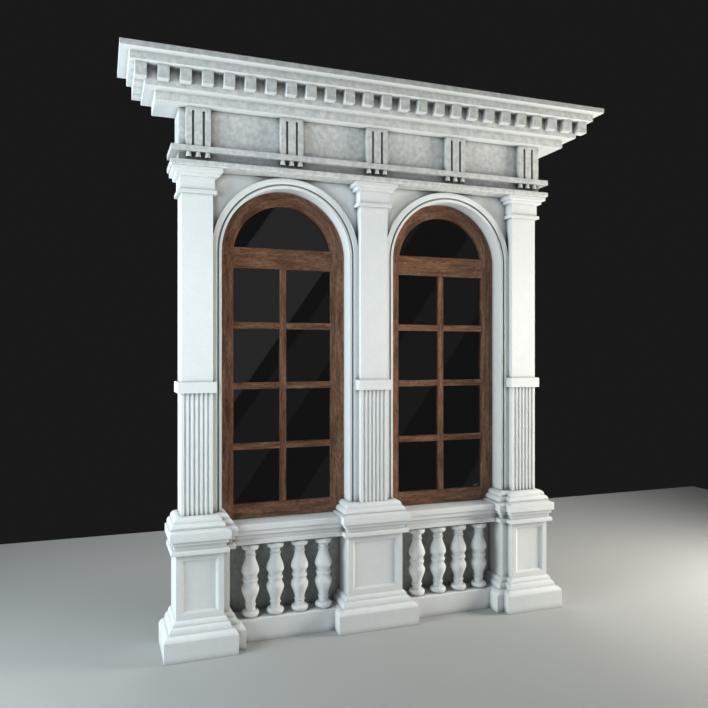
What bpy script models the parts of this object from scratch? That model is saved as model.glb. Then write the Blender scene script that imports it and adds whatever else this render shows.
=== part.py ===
"""Window surround: a pair of round-arched windows between three panelled pilasters.

Everything is measured in metres from the flat back that stands against the wall.
"Out" means how far a face stands forward of that back, so +out is towards the viewer (-Y).
"""
import math

import bpy
import bmesh

# Clearance between touching pieces
JOINT = 0.0003

# Facets of a moulding's quarter round, and of the small ones
ROUND_STEPS = 3
SMALL_ROUND_STEPS = 2

# Setting out: two bays between three pilaster axes
BAY_WIDTH = 1.580
SHAFT_WIDTH = 0.260
SHAFT_OUT = 0.273

# Pedestals
END_DIE_OUT = 0.387
CENTRE_DIE_OUT = 0.309
END_DIE_OUTER_MARGIN = 0.055
END_DIE_INNER_MARGIN = 0.074
BALUSTRADE_LENGTH = 1.056
PLINTH_REACH = 0.103
PLINTH_FACE_HEIGHT = 0.165
PLINTH_ROUND_HEIGHT = 0.038
LOWER_STEP_REACH = 0.056
LOWER_STEP_FACE_HEIGHT = 0.013
LOWER_STEP_ROUND_HEIGHT = 0.040
UPPER_STEP_REACH = 0.027
UPPER_STEP_FACE_HEIGHT = 0.014
UPPER_STEP_ROUND_HEIGHT = 0.030
DIE_HEIGHT = 0.528
CAP_FILLET_REACH = 0.041
CAP_FILLET_HEIGHT = 0.030
CAP_ROUND_HEIGHT = 0.012
CAP_NECK_REACH = 0.016
CAP_NECK_HEIGHT = 0.037
CAP_STEP_REACH = 0.033
CAP_STEP_HEIGHT = 0.032
SLAB_REACH = 0.053
SLAB_HEIGHT = 0.070
SLAB_WEATHERING = 0.012
SLAB_TOP_REACH = 0.018
BALUSTRADE_SIDE_SPREAD = 1.155
PANEL_MARGIN = 0.046
PANEL_BEVEL = 0.022
PANEL_DEPTH = 0.018

# Pilaster bases
BASE_WING_HALF = 0.200
BASE_WING_OUT = 0.220
LOWER_TORUS_REACH = 0.093
LOWER_TORUS_FACE_HEIGHT = 0.017
LOWER_TORUS_ROUND_HEIGHT = 0.029
UPPER_TORUS_REACH = 0.064
UPPER_TORUS_FACE_HEIGHT = 0.020
UPPER_TORUS_ROUND_HEIGHT = 0.028
BASE_TOP_REACH = 0.018

# Pilasters
FLUTED_HEIGHT = 1.013
FLUTE_COUNT = 6
FLUTE_PITCH = 0.0375
FLUTE_RADIUS = 0.0115
FLUTE_SIDES = 10
BAND_HEIGHT = 0.092
BAND_REACH = 0.030
UPPER_SHAFT_HEIGHT = 1.563
RING_HEIGHT = 0.030
RING_REACH = 0.030
NECK_HEIGHT = 0.107
NECK_REACH = 0.013
LOWER_CAPITAL_REACH = 0.045
LOWER_CAPITAL_HEIGHT = 0.032
UPPER_CAPITAL_REACH = 0.0735
UPPER_CAPITAL_HEIGHT = 0.042
CAPITAL_SPLAY = 0.007

# Arched surrounds
INNER_BAND_WIDTH = 0.023
INNER_BAND_OUT = 0.205
GROOVE_WIDTH = 0.016
GROOVE_OUT = 0.190
JAMB_OUTER_BAND_WIDTH = 0.044
ARCH_OUTER_BAND_WIDTH = 0.050
OUTER_BAND_OUT = 0.211
SPANDREL_OUT = 0.165
CROWN_CLEARANCE = 0.003
ARCH_STEPS = 24

# Entablature
ARCHITRAVE_BAND_REACH = 0.091
ARCHITRAVE_BED_HEIGHT = 0.006
ARCHITRAVE_BAND_HEIGHT = 0.038
GUTTA_FIELD_HEIGHT = 0.072
TAENIA_REACH = 0.090
TAENIA_HEIGHT = 0.047
FRIEZE_REACH = 0.025
FRIEZE_HEIGHT = 0.317
TRIGLYPH_WIDTH = 0.200
TRIGLYPH_THICKNESS = 0.055
TRIGLYPH_GROOVE_SPACING = 0.086
TRIGLYPH_GROOVE_WIDTH = 0.021
TRIGLYPH_GROOVE_DEPTH = 0.022
TRIGLYPH_HEAD_HEIGHT = 0.030
GUTTA_HEIGHT = 0.043
GUTTA_BOTTOM_RADIUS = 0.024
GUTTA_TOP_RADIUS = 0.016
GUTTA_PITCH = 0.077
GUTTA_ROOT = 0.012
GUTTA_SIDES = 8
CORNICE_RUN_ON = 0.073
BED_REACH = 0.120
BED_HEIGHT = 0.077
DENTIL_BAND_REACH = 0.207
DENTIL_BAND_HEIGHT = 0.145
CORONA_REACH = 0.323
CORONA_HEIGHT = 0.064
TOP_REACH = 0.395
TOP_HEIGHT = 0.046
DENTIL_REACH = 0.281
DENTIL_WIDTH = 0.087
DENTIL_HEIGHT = 0.108
DENTIL_COUNT = 25
RETURN_DENTIL_COUNT = 3

# Balustrade and sill
RAIL_OUT = 0.275
BOTTOM_RAIL_HEIGHT = 0.194
RAIL_EDGE_RADIUS = 0.010
SILL_RISE = 0.061
SILL_FACE_HEIGHT = 0.052
SILL_STEP_SETBACK = 0.012
SILL_NECK_SETBACK = 0.026
SILL_FILLET_SETBACK = 0.006
APRON_THICKNESS = 0.060
BALUSTER_OUT = 0.194
BALUSTER_COUNT = 4
BALUSTER_ROW_MARGIN = 0.089
BALUSTER_RING_RADIUS = 0.0675
BALUSTER_RING_HALF_HEIGHT = 0.014
BALUSTER_WAIST_RADIUS = 0.058
BALUSTER_WAIST_LEVEL = 0.027
BALUSTER_BELLY_RADIUS = 0.0765
BALUSTER_BELLY_LEVEL = 0.075
BALUSTER_NECK_RADIUS = 0.042
BALUSTER_COLLAR_RADIUS = 0.050
BALUSTER_COLLAR_LEVEL = 0.211
BALUSTER_COLLAR_SPLAY = 0.009
BALUSTER_FOOT_RADIUS = 0.0745
BALUSTER_FOOT_HEIGHT = 0.058
BALUSTER_FOOT_SHOULDER = 0.014
BALUSTER_NECK_SPLAY = 0.006
BALUSTER_SIDES = 12
BELLY_STEPS = 2
TAPER_STEPS = 3

# Windows
WINDOW_BACK_OUT = 0.004
WINDOW_FRONT_OUT = 0.045
STILE_WIDTH = 0.1265
BOTTOM_RAIL_WOOD_HEIGHT = 0.132
TRANSOM_BELOW_SPRING = 0.1145
TRANSOM_HEIGHT = 0.1825
BAR_WIDTH = 0.058
BAR_FRONT_SETBACK = 0.004
PANE_ROWS = 4
GLASS_OUT = 0.010
GLASS_THICKNESS = 0.004

# Levels, worked upwards from the ground
LOWER_STEP_BOTTOM = PLINTH_FACE_HEIGHT + PLINTH_ROUND_HEIGHT
UPPER_STEP_BOTTOM = LOWER_STEP_BOTTOM + LOWER_STEP_FACE_HEIGHT + LOWER_STEP_ROUND_HEIGHT
DIE_BOTTOM = UPPER_STEP_BOTTOM + UPPER_STEP_FACE_HEIGHT + UPPER_STEP_ROUND_HEIGHT
CAP_BOTTOM = DIE_BOTTOM + DIE_HEIGHT
CAP_NECK_BOTTOM = CAP_BOTTOM + CAP_FILLET_HEIGHT + CAP_ROUND_HEIGHT
CAP_STEP_BOTTOM = CAP_NECK_BOTTOM + CAP_NECK_HEIGHT
SLAB_BOTTOM = CAP_STEP_BOTTOM + CAP_STEP_HEIGHT
PEDESTAL_TOP = SLAB_BOTTOM + SLAB_HEIGHT + SLAB_WEATHERING
LOWER_TORUS_HEIGHT = LOWER_TORUS_FACE_HEIGHT + LOWER_TORUS_ROUND_HEIGHT
UPPER_TORUS_HEIGHT = UPPER_TORUS_FACE_HEIGHT + UPPER_TORUS_ROUND_HEIGHT
BASE_TOP = PEDESTAL_TOP + LOWER_TORUS_HEIGHT + UPPER_TORUS_HEIGHT
BAND_BOTTOM = BASE_TOP + FLUTED_HEIGHT
RING_BOTTOM = BAND_BOTTOM + BAND_HEIGHT + UPPER_SHAFT_HEIGHT
NECK_BOTTOM = RING_BOTTOM + RING_HEIGHT
LOWER_CAPITAL_BOTTOM = NECK_BOTTOM + NECK_HEIGHT
UPPER_CAPITAL_BOTTOM = LOWER_CAPITAL_BOTTOM + LOWER_CAPITAL_HEIGHT
ARCHITRAVE_BOTTOM = UPPER_CAPITAL_BOTTOM + UPPER_CAPITAL_HEIGHT
GUTTA_FIELD_BOTTOM = ARCHITRAVE_BOTTOM + ARCHITRAVE_BED_HEIGHT + ARCHITRAVE_BAND_HEIGHT
TAENIA_BOTTOM = GUTTA_FIELD_BOTTOM + GUTTA_FIELD_HEIGHT
FRIEZE_BOTTOM = TAENIA_BOTTOM + TAENIA_HEIGHT
CORNICE_BOTTOM = FRIEZE_BOTTOM + FRIEZE_HEIGHT
DENTIL_BAND_BOTTOM = CORNICE_BOTTOM + BED_HEIGHT
CORONA_BOTTOM = DENTIL_BAND_BOTTOM + DENTIL_BAND_HEIGHT
TOP_BOTTOM = CORONA_BOTTOM + CORONA_HEIGHT
CORNICE_TOP = TOP_BOTTOM + TOP_HEIGHT

# Levels and plan sizes shared between pieces
SILL_BOTTOM = CAP_BOTTOM
SILL_TOP = SLAB_BOTTOM + SILL_RISE
FRIEZE_OUT = SHAFT_OUT + FRIEZE_REACH
TOTAL_DEPTH = FRIEZE_OUT + TOP_REACH
BACK_Y = TOTAL_DEPTH / 2
SHAFT_HALF = SHAFT_WIDTH / 2
END_FACE = BAY_WIDTH + SHAFT_HALF
ARCH_HALF = BAY_WIDTH / 2 - SHAFT_HALF - JOINT
OPENING_HALF = ARCH_HALF - JAMB_OUTER_BAND_WIDTH - GROOVE_WIDTH - INNER_BAND_WIDTH
ARCH_OUTER_RADIUS = OPENING_HALF + INNER_BAND_WIDTH + GROOVE_WIDTH + ARCH_OUTER_BAND_WIDTH
SPRING_HEIGHT = ARCHITRAVE_BOTTOM - CROWN_CLEARANCE - ARCH_OUTER_RADIUS
TRANSOM_BOTTOM = SPRING_HEIGHT - TRANSOM_BELOW_SPRING
DIE_WING_HALF = (BAY_WIDTH - BALUSTRADE_LENGTH) / 2
BALUSTER_PITCH = (BALUSTRADE_LENGTH - 2 * BALUSTER_ROW_MARGIN) / BALUSTER_COUNT
FRIEZE_END = END_FACE + FRIEZE_REACH
CORNICE_END = FRIEZE_END + CORNICE_RUN_ON
BAYS = (("left", -BAY_WIDTH / 2), ("right", BAY_WIDTH / 2))
PILASTERS = (("left", -1), ("centre", 0), ("right", 1))


def y_of(out):
    """Y of a face that stands this far out from the flat back."""
    return BACK_Y - out


def collection_named(name):
    """A collection of this name in the scene."""
    collection = bpy.data.collections.get(name) or bpy.data.collections.new(name)
    if name not in bpy.context.scene.collection.children:
        bpy.context.scene.collection.children.link(collection)
    return collection


def material(name, colour, roughness, transmission=0.0):
    """A plain Principled material, made once and shared by its pieces."""
    found = bpy.data.materials.get(name)
    if found:
        return found
    made = bpy.data.materials.new(name)
    made.use_nodes = True
    shader = made.node_tree.nodes["Principled BSDF"]
    shader.inputs["Base Color"].default_value = (*colour, 1.0)
    shader.inputs["Roughness"].default_value = roughness
    shader.inputs["Metallic"].default_value = 0.0
    shader.inputs["Transmission Weight"].default_value = transmission
    return made


def stone():
    """White painted stone."""
    return material("painted stone", (0.78, 0.80, 0.82), 0.55)


def wood():
    """Mid-brown timber."""
    return material("brown timber", (0.17, 0.085, 0.048), 0.5)


def glass():
    """Clear window glass."""
    return material("clear glass", (0.95, 0.97, 0.97), 0.03, 1.0)


def piece(name, bm, finish, collection="window surround"):
    """Turn a bmesh into a named object with its material."""
    bmesh.ops.recalc_face_normals(bm, faces=bm.faces)
    mesh = bpy.data.meshes.new(name)
    bm.to_mesh(mesh)
    bm.free()
    mesh.materials.append(finish)
    made = bpy.data.objects.new(name, mesh)
    collection_named(collection).objects.link(made)
    return made


def shaping_body(name, bm):
    """A hidden body that is only joined to, or cut from, a piece."""
    made = piece(name, bm, stone(), "shaping bodies")
    made.hide_render = True
    made.display_type = "WIRE"
    return made


def combine(target, body, operation):
    """Join a hidden body to a piece, or cut it away."""
    boolean = target.modifiers.new(body.name, "BOOLEAN")
    boolean.object = body
    boolean.operation = operation
    boolean.solver = "EXACT"


def add_box(bm, x_range, out_range, z_range):
    """Add a box between two x values, two outs and two levels."""
    sizes = [abs(end - start) for start, end in (x_range, out_range, z_range)]
    centre = (sum(x_range) / 2, y_of(sum(out_range) / 2), sum(z_range) / 2)
    cube = bmesh.ops.create_cube(bm, size=1.0)["verts"]
    bmesh.ops.scale(bm, vec=sizes, verts=cube)
    bmesh.ops.translate(bm, vec=centre, verts=cube)
    return cube


def box(x_range, out_range, z_range):
    """A new bmesh that holds one box."""
    bm = bmesh.new()
    add_box(bm, x_range, out_range, z_range)
    return bm


def round_top(reach, end_reach, level, height, steps=ROUND_STEPS):
    """Points of a convex quarter round that turns inwards as it rises."""
    angles = [math.pi / 2 * step / steps for step in range(1, steps + 1)]
    return [(end_reach + (reach - end_reach) * math.cos(a), level + height * math.sin(a)) for a in angles]


def ring_points(outline, reaches, reach, level):
    """The outline's corners, each edge moved outwards by reach times its own share."""
    points = []
    count = len(outline)
    for index, (x, out) in enumerate(outline):
        for edge in (index - 1, index):
            x0, out0 = outline[edge % count]
            x1, out1 = outline[(edge + 1) % count]
            length = math.hypot(x1 - x0, out1 - out0)
            x += -(out1 - out0) / length * reach * reaches[edge % count]
            out += (x1 - x0) / length * reach * reaches[edge % count]
        points.append((x, y_of(out), level))
    return points


def moulded_block(outline, reaches, profile):
    """Extrude a square-cornered outline upwards through a moulding profile of (reach, level).

    The outline runs clockwise in (x, out): along the front from left to right, then to the back.
    """
    bm = bmesh.new()
    corners = ring_points(outline, reaches, *profile[0])
    top = bm.faces.new([bm.verts.new(corner) for corner in corners])
    for step, (reach, level) in enumerate(profile[1:]):
        covered = top
        grown = bmesh.ops.extrude_face_region(bm, geom=[covered])["geom"]
        top = next(item for item in grown if isinstance(item, bmesh.types.BMFace))
        for vertex, corner in zip(top.verts, ring_points(outline, reaches, reach, level)):
            vertex.co = corner
        if step:
            bmesh.ops.delete(bm, geom=[covered], context="FACES_ONLY")
    for index, share in enumerate(reaches):
        if share == 0:
            flatten_side(bm, outline[index], outline[(index + 1) % len(outline)])
    return bm


def flatten_side(bm, start, end):
    """Make one face of the flat side that a moulding stops against."""
    axis = 0 if start[0] == end[0] else 1
    level = start[0] if axis == 0 else y_of(start[1])
    hair = JOINT / 10
    flat = [face for face in bm.faces if all(abs(vertex.co[axis] - level) < hair for vertex in face.verts)]
    bmesh.ops.delete(bm, geom=flat, context="FACES")
    rim = [edge for edge in bm.edges if len(edge.link_faces) == 1]
    bmesh.ops.edgeloop_fill(bm, edges=rim)


def prism(points, out_range):
    """Extrude a flat (x, z) outline between two outs."""
    bm = bmesh.new()
    face = bm.faces.new([bm.verts.new((x, y_of(out_range[0]), z)) for x, z in points])
    grown = bmesh.ops.extrude_face_region(bm, geom=[face])["geom"]
    moved = [item for item in grown if isinstance(item, bmesh.types.BMVert)]
    bmesh.ops.translate(bm, vec=(0, y_of(out_range[1]) - y_of(out_range[0]), 0), verts=moved)
    return bm


def arch_line(centre_x, radius, bottom):
    """A line up one jamb, round the arch and down the other jamb."""
    line = [(centre_x - radius, bottom)]
    for step in range(ARCH_STEPS + 1):
        angle = math.pi * (1 - step / ARCH_STEPS)
        line.append((centre_x + radius * math.cos(angle), SPRING_HEIGHT + radius * math.sin(angle)))
    line.append((centre_x + radius, bottom))
    return line


def arch_moulding(centre_x, bottom, section):
    """Sweep a closed section of (radius, out) up the jambs and round the arch."""
    bm = bmesh.new()
    rails = []
    for radius, out in section:
        line = arch_line(centre_x, radius, bottom)
        rails.append([bm.verts.new((x, y_of(out), z)) for x, z in line])
    for index, rail in enumerate(rails):
        following = rails[(index + 1) % len(rails)]
        for step in range(len(rail) - 1):
            bm.faces.new((rail[step], rail[step + 1], following[step + 1], following[step]))
    bm.faces.new([rail[0] for rail in rails])
    bm.faces.new([rail[-1] for rail in rails])
    return bm


def mirrored(points, side):
    """An outline drawn for the right-hand side, turned over for the left-hand one."""
    return points if side > 0 else [(-x, out) for x, out in reversed(points)]


def pedestal_outline(side):
    """Plan of a pedestal's die with the share of the moulding reach that each edge takes."""
    if side == 0:
        corners = [(-DIE_WING_HALF, 0), (-DIE_WING_HALF, CENTRE_DIE_OUT),
                   (DIE_WING_HALF, CENTRE_DIE_OUT), (DIE_WING_HALF, 0)]
        return corners, [BALUSTRADE_SIDE_SPREAD, 1, BALUSTRADE_SIDE_SPREAD, 0]
    wing = BAY_WIDTH - DIE_WING_HALF
    block_inner = BAY_WIDTH - SHAFT_HALF - END_DIE_INNER_MARGIN
    block_outer = END_FACE + END_DIE_OUTER_MARGIN
    corners = [(wing, 0), (wing, CENTRE_DIE_OUT), (block_inner, CENTRE_DIE_OUT),
               (block_inner, END_DIE_OUT), (block_outer, END_DIE_OUT), (block_outer, 0)]
    reaches = [BALUSTRADE_SIDE_SPREAD, 1, 1, 1, 1, 0]
    if side < 0:
        return mirrored(corners, side), [*reversed(reaches[:-1]), reaches[-1]]
    return corners, reaches


def pedestal_profile():
    """Moulding profile of a pedestal, from the ground to the weathered top of its cap."""
    lower_step_round = LOWER_STEP_BOTTOM + LOWER_STEP_FACE_HEIGHT
    upper_step_round = UPPER_STEP_BOTTOM + UPPER_STEP_FACE_HEIGHT
    fillet_top = CAP_BOTTOM + CAP_FILLET_HEIGHT
    slab_top = SLAB_BOTTOM + SLAB_HEIGHT
    return [
        (PLINTH_REACH, 0),
        (PLINTH_REACH, PLINTH_FACE_HEIGHT),
        *round_top(PLINTH_REACH, LOWER_STEP_REACH, PLINTH_FACE_HEIGHT, PLINTH_ROUND_HEIGHT),
        (LOWER_STEP_REACH, lower_step_round),
        *round_top(LOWER_STEP_REACH, UPPER_STEP_REACH, lower_step_round, LOWER_STEP_ROUND_HEIGHT),
        (UPPER_STEP_REACH, upper_step_round),
        *round_top(UPPER_STEP_REACH, 0, upper_step_round, UPPER_STEP_ROUND_HEIGHT),
        (0, CAP_BOTTOM),
        (CAP_FILLET_REACH, CAP_BOTTOM),
        (CAP_FILLET_REACH, fillet_top),
        *round_top(CAP_FILLET_REACH, CAP_NECK_REACH, fillet_top, CAP_ROUND_HEIGHT, SMALL_ROUND_STEPS),
        (CAP_NECK_REACH, CAP_STEP_BOTTOM),
        (CAP_STEP_REACH, CAP_STEP_BOTTOM),
        (CAP_STEP_REACH, SLAB_BOTTOM),
        (SLAB_REACH, SLAB_BOTTOM),
        (SLAB_REACH, slab_top),
        (SLAB_TOP_REACH, PEDESTAL_TOP),
    ]


def panel_cutter(name, x_range, face_out):
    """A tapered body that sinks a bevelled panel into the front of a die."""
    z_range = (DIE_BOTTOM + PANEL_MARGIN, CAP_BOTTOM - PANEL_MARGIN)
    x_range = (x_range[0] + PANEL_MARGIN, x_range[1] - PANEL_MARGIN)
    floor = [(x, y, z) for x in (x_range[0] + PANEL_BEVEL, x_range[1] - PANEL_BEVEL)
             for y in (y_of(face_out - PANEL_DEPTH),)
             for z in (z_range[0] + PANEL_BEVEL, z_range[1] - PANEL_BEVEL)]
    mouth = [(x, y_of(face_out), z) for x in x_range for z in z_range]
    slope = PANEL_BEVEL / PANEL_DEPTH
    clear = PANEL_DEPTH
    beyond = [(x + math.copysign(slope * clear, x - sum(x_range) / 2), y_of(face_out + clear),
               z + math.copysign(slope * clear, z - sum(z_range) / 2)) for x, y, z in mouth]
    bm = bmesh.new()
    corners = [bm.verts.new(point) for point in (*floor, *beyond)]
    bmesh.ops.convex_hull(bm, input=corners)
    return shaping_body(name, bm)


def window_rebate(name, centre_x):
    """The space that a window frame takes behind the pedestals and bases."""
    half = OPENING_HALF
    out_range = (-WINDOW_FRONT_OUT, WINDOW_FRONT_OUT + JOINT)
    return shaping_body(name, box((centre_x - half, centre_x + half), out_range, (SILL_TOP, SPRING_HEIGHT)))


def neighbouring_bays(side):
    """Names of the bays beside a pilaster."""
    return [name for name, centre_x in BAYS if side == 0 or centre_x * side > 0]


def make_pedestals(rebates):
    """Three panelled pedestals; the end ones stand forward of their inner wing."""
    for name, side in PILASTERS:
        corners, reaches = pedestal_outline(side)
        block = piece(f"pedestal_{name}", moulded_block(corners, reaches, pedestal_profile()), stone())
        front = max(out for x, out in corners)
        front_x = [x for x, out in corners if out == front]
        combine(block, panel_cutter(f"panel {name}", (min(front_x), max(front_x)), front), "DIFFERENCE")
        for bay in neighbouring_bays(side):
            combine(block, rebates[bay], "DIFFERENCE")


def base_outline(side):
    """Plan that the two toruses of a pilaster base run round."""
    wing_back = WINDOW_FRONT_OUT + JOINT
    if side == 0:
        corners = [(-BASE_WING_HALF, wing_back), (-BASE_WING_HALF, BASE_WING_OUT),
                   (BASE_WING_HALF, BASE_WING_OUT), (BASE_WING_HALF, wing_back)]
        return corners, [1, 1, 1, 0]
    wing = BAY_WIDTH - BASE_WING_HALF
    shaft_inner = BAY_WIDTH - SHAFT_HALF
    corners = [(wing, wing_back), (wing, BASE_WING_OUT), (shaft_inner, BASE_WING_OUT),
               (shaft_inner, SHAFT_OUT), (END_FACE, SHAFT_OUT), (END_FACE, 0),
               (shaft_inner, 0), (shaft_inner, wing_back)]
    reaches = [1, 1, 1, 1, 1, 0, 0, 0]
    if side < 0:
        return mirrored(corners, side), [*reversed(reaches[:-1]), reaches[-1]]
    return corners, reaches


def base_profile():
    """Two quarter-round toruses, the lower one wider."""
    bottom = PEDESTAL_TOP + JOINT
    lower_round = PEDESTAL_TOP + LOWER_TORUS_FACE_HEIGHT
    upper_bottom = PEDESTAL_TOP + LOWER_TORUS_HEIGHT
    upper_round = upper_bottom + UPPER_TORUS_FACE_HEIGHT
    return [
        (LOWER_TORUS_REACH, bottom),
        (LOWER_TORUS_REACH, lower_round),
        *round_top(LOWER_TORUS_REACH, UPPER_TORUS_REACH, lower_round, LOWER_TORUS_ROUND_HEIGHT),
        (UPPER_TORUS_REACH, upper_round),
        *round_top(UPPER_TORUS_REACH, BASE_TOP_REACH, upper_round, UPPER_TORUS_ROUND_HEIGHT),
    ]


def make_bases():
    """The moulded base that each pilaster and the jambs beside it stand on."""
    jamb_half = BAY_WIDTH / 2 - OPENING_HALF
    for name, side in PILASTERS:
        corners, reaches = base_outline(side)
        base = piece(f"base_{name}", moulded_block(corners, reaches, base_profile()), stone())
        axis = side * BAY_WIDTH
        left = axis - (jamb_half if side >= 0 else SHAFT_HALF)
        right = axis + (jamb_half if side <= 0 else SHAFT_HALF)
        core = box((left, right), (0, SHAFT_OUT / 2), (PEDESTAL_TOP + JOINT, BASE_TOP))
        combine(base, shaping_body(f"base core {name}", core), "UNION")
        if side == 0:
            footing = box((-SHAFT_HALF, SHAFT_HALF), (0, SHAFT_OUT), (PEDESTAL_TOP + JOINT, BASE_TOP))
            combine(base, shaping_body("shaft footing", footing), "UNION")


def collar(side, clear_out, profile):
    """A moulding round a pilaster that stops in front of what stands beside the shaft."""
    if side == 0:
        corners = [(-SHAFT_HALF, clear_out), (-SHAFT_HALF, SHAFT_OUT),
                   (SHAFT_HALF, SHAFT_OUT), (SHAFT_HALF, clear_out)]
        return moulded_block(corners, [1, 1, 1, 0], profile)
    inner = BAY_WIDTH - SHAFT_HALF
    inside = BAY_WIDTH
    corners = [(inner, clear_out), (inner, SHAFT_OUT), (END_FACE, SHAFT_OUT), (END_FACE, 0),
               (inside, 0), (inside, clear_out)]
    reaches = [1, 1, 1, 0, 0, 0]
    if side < 0:
        return moulded_block(mirrored(corners, side), [*reversed(reaches[:-1]), reaches[-1]], profile)
    return moulded_block(corners, reaches, profile)


def flute_cutters(name, axis):
    """Round-bottomed flutes, from the base to the middle band."""
    bm = bmesh.new()
    height = FLUTED_HEIGHT + LOWER_TORUS_HEIGHT
    first = axis - FLUTE_PITCH * (FLUTE_COUNT - 1) / 2
    for index in range(FLUTE_COUNT):
        flute = bmesh.ops.create_cone(bm, cap_ends=True, segments=FLUTE_SIDES, radius1=FLUTE_RADIUS,
                                      radius2=FLUTE_RADIUS, depth=height)["verts"]
        centre = (first + FLUTE_PITCH * index, y_of(SHAFT_OUT), BAND_BOTTOM - height / 2)
        bmesh.ops.translate(bm, vec=centre, verts=flute)
    return shaping_body(name, bm)


def capital_profile():
    """Ring, neck and two splayed steps, up to the underside of the architrave."""
    return [
        (RING_REACH, RING_BOTTOM),
        (RING_REACH, NECK_BOTTOM),
        (NECK_REACH, NECK_BOTTOM),
        (NECK_REACH, LOWER_CAPITAL_BOTTOM),
        (LOWER_CAPITAL_REACH, LOWER_CAPITAL_BOTTOM + CAPITAL_SPLAY),
        (LOWER_CAPITAL_REACH, UPPER_CAPITAL_BOTTOM),
        (UPPER_CAPITAL_REACH, UPPER_CAPITAL_BOTTOM + CAPITAL_SPLAY),
        (UPPER_CAPITAL_REACH, ARCHITRAVE_BOTTOM - JOINT),
    ]


def make_pilasters():
    """Three pilasters: fluted below, a plain band, a plain upper shaft and a stepped capital."""
    band_profile = [(BAND_REACH, BAND_BOTTOM), (BAND_REACH, BAND_BOTTOM + BAND_HEIGHT)]
    for name, side in PILASTERS:
        axis = side * BAY_WIDTH
        x_range = (axis - SHAFT_HALF, axis + SHAFT_HALF)
        shaft = box(x_range, (0, SHAFT_OUT), (BASE_TOP + JOINT, ARCHITRAVE_BOTTOM - JOINT))
        pilaster = piece(f"pilaster_{name}", shaft, stone())
        combine(pilaster, flute_cutters(f"flutes {name}", axis), "DIFFERENCE")
        band = collar(side, OUTER_BAND_OUT + JOINT, band_profile)
        combine(pilaster, shaping_body(f"band {name}", band), "UNION")
        capital = collar(side, SPANDREL_OUT + JOINT, capital_profile())
        combine(pilaster, shaping_body(f"capital {name}", capital), "UNION")


def arch_section():
    """Section through jamb and archivolt: inner band, groove and outer band."""
    groove_inner = OPENING_HALF + INNER_BAND_WIDTH
    groove_outer = groove_inner + GROOVE_WIDTH
    return [
        (OPENING_HALF, 0),
        (OPENING_HALF, INNER_BAND_OUT),
        (groove_inner, INNER_BAND_OUT),
        (groove_inner, GROOVE_OUT),
        (groove_outer, GROOVE_OUT),
        (groove_outer, OUTER_BAND_OUT),
        (ARCH_OUTER_RADIUS, OUTER_BAND_OUT),
        (ARCH_OUTER_RADIUS, 0),
    ]


def make_arches():
    """One arched surround in each bay: jambs, archivolt and the spandrels behind it."""
    bottom = BASE_TOP + JOINT
    top = ARCHITRAVE_BOTTOM - JOINT
    hidden_radius = OPENING_HALF + INNER_BAND_WIDTH + GROOVE_WIDTH
    for name, centre_x in BAYS:
        arch = piece(f"arch_{name}", arch_moulding(centre_x, bottom, arch_section()), stone())
        sides = bmesh.new()
        for edge in (-1, 1):
            x_range = (centre_x + edge * ARCH_HALF, centre_x + edge * (ARCH_HALF + SHAFT_WIDTH))
            add_box(sides, sorted(x_range), (-SHAFT_OUT, 2 * SHAFT_OUT), (0, CORNICE_TOP))
        opening = arch_line(centre_x, hidden_radius, bottom)
        outline = [(centre_x - ARCH_HALF, bottom), (centre_x - ARCH_HALF, top),
                   (centre_x + ARCH_HALF, top), (centre_x + ARCH_HALF, bottom)]
        wall = prism([*outline, *reversed(opening)], (0, SPANDREL_OUT))
        combine(arch, shaping_body(f"arch sides {name}", sides), "DIFFERENCE")
        combine(arch, shaping_body(f"spandrel {name}", wall), "UNION")


def end_to_end(end, out):
    """A plain rectangular plan across the whole front."""
    return [(-end, 0), (-end, out), (end, out), (end, 0)]


def triglyph_axes():
    """Triglyphs stand over the pilasters and midway between them."""
    return [BAY_WIDTH / 2 * index for index in range(-2, 3)]


def guttae_cones():
    """Three small cones under the taenia at each triglyph, rooted in the taenia."""
    bm = bmesh.new()
    bottom = TAENIA_BOTTOM - GUTTA_HEIGHT
    depth = GUTTA_HEIGHT + GUTTA_ROOT
    y = y_of((FRIEZE_OUT + SHAFT_OUT + TAENIA_REACH) / 2)
    for axis in triglyph_axes():
        for place in (-1, 0, 1):
            cone = bmesh.ops.create_cone(bm, cap_ends=True, segments=GUTTA_SIDES, depth=depth,
                                         radius1=GUTTA_BOTTOM_RADIUS, radius2=GUTTA_TOP_RADIUS)["verts"]
            centre = (axis + place * GUTTA_PITCH, y, bottom + depth / 2)
            bmesh.ops.translate(bm, vec=centre, verts=cone)
    return shaping_body("guttae", bm)


def make_architrave():
    """Continuous band, the recessed field of the guttae and the taenia above it."""
    profile = [
        (UPPER_CAPITAL_REACH + CAPITAL_SPLAY, ARCHITRAVE_BOTTOM),
        (ARCHITRAVE_BAND_REACH, ARCHITRAVE_BOTTOM + ARCHITRAVE_BED_HEIGHT),
        (ARCHITRAVE_BAND_REACH, GUTTA_FIELD_BOTTOM),
        (FRIEZE_REACH, GUTTA_FIELD_BOTTOM),
        (FRIEZE_REACH, TAENIA_BOTTOM),
        (TAENIA_REACH, TAENIA_BOTTOM),
        (TAENIA_REACH, FRIEZE_BOTTOM - JOINT),
    ]
    outline = end_to_end(END_FACE, SHAFT_OUT)
    architrave = piece("architrave", moulded_block(outline, [1, 1, 1, 0], profile), stone())
    combine(architrave, guttae_cones(), "UNION")


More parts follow.
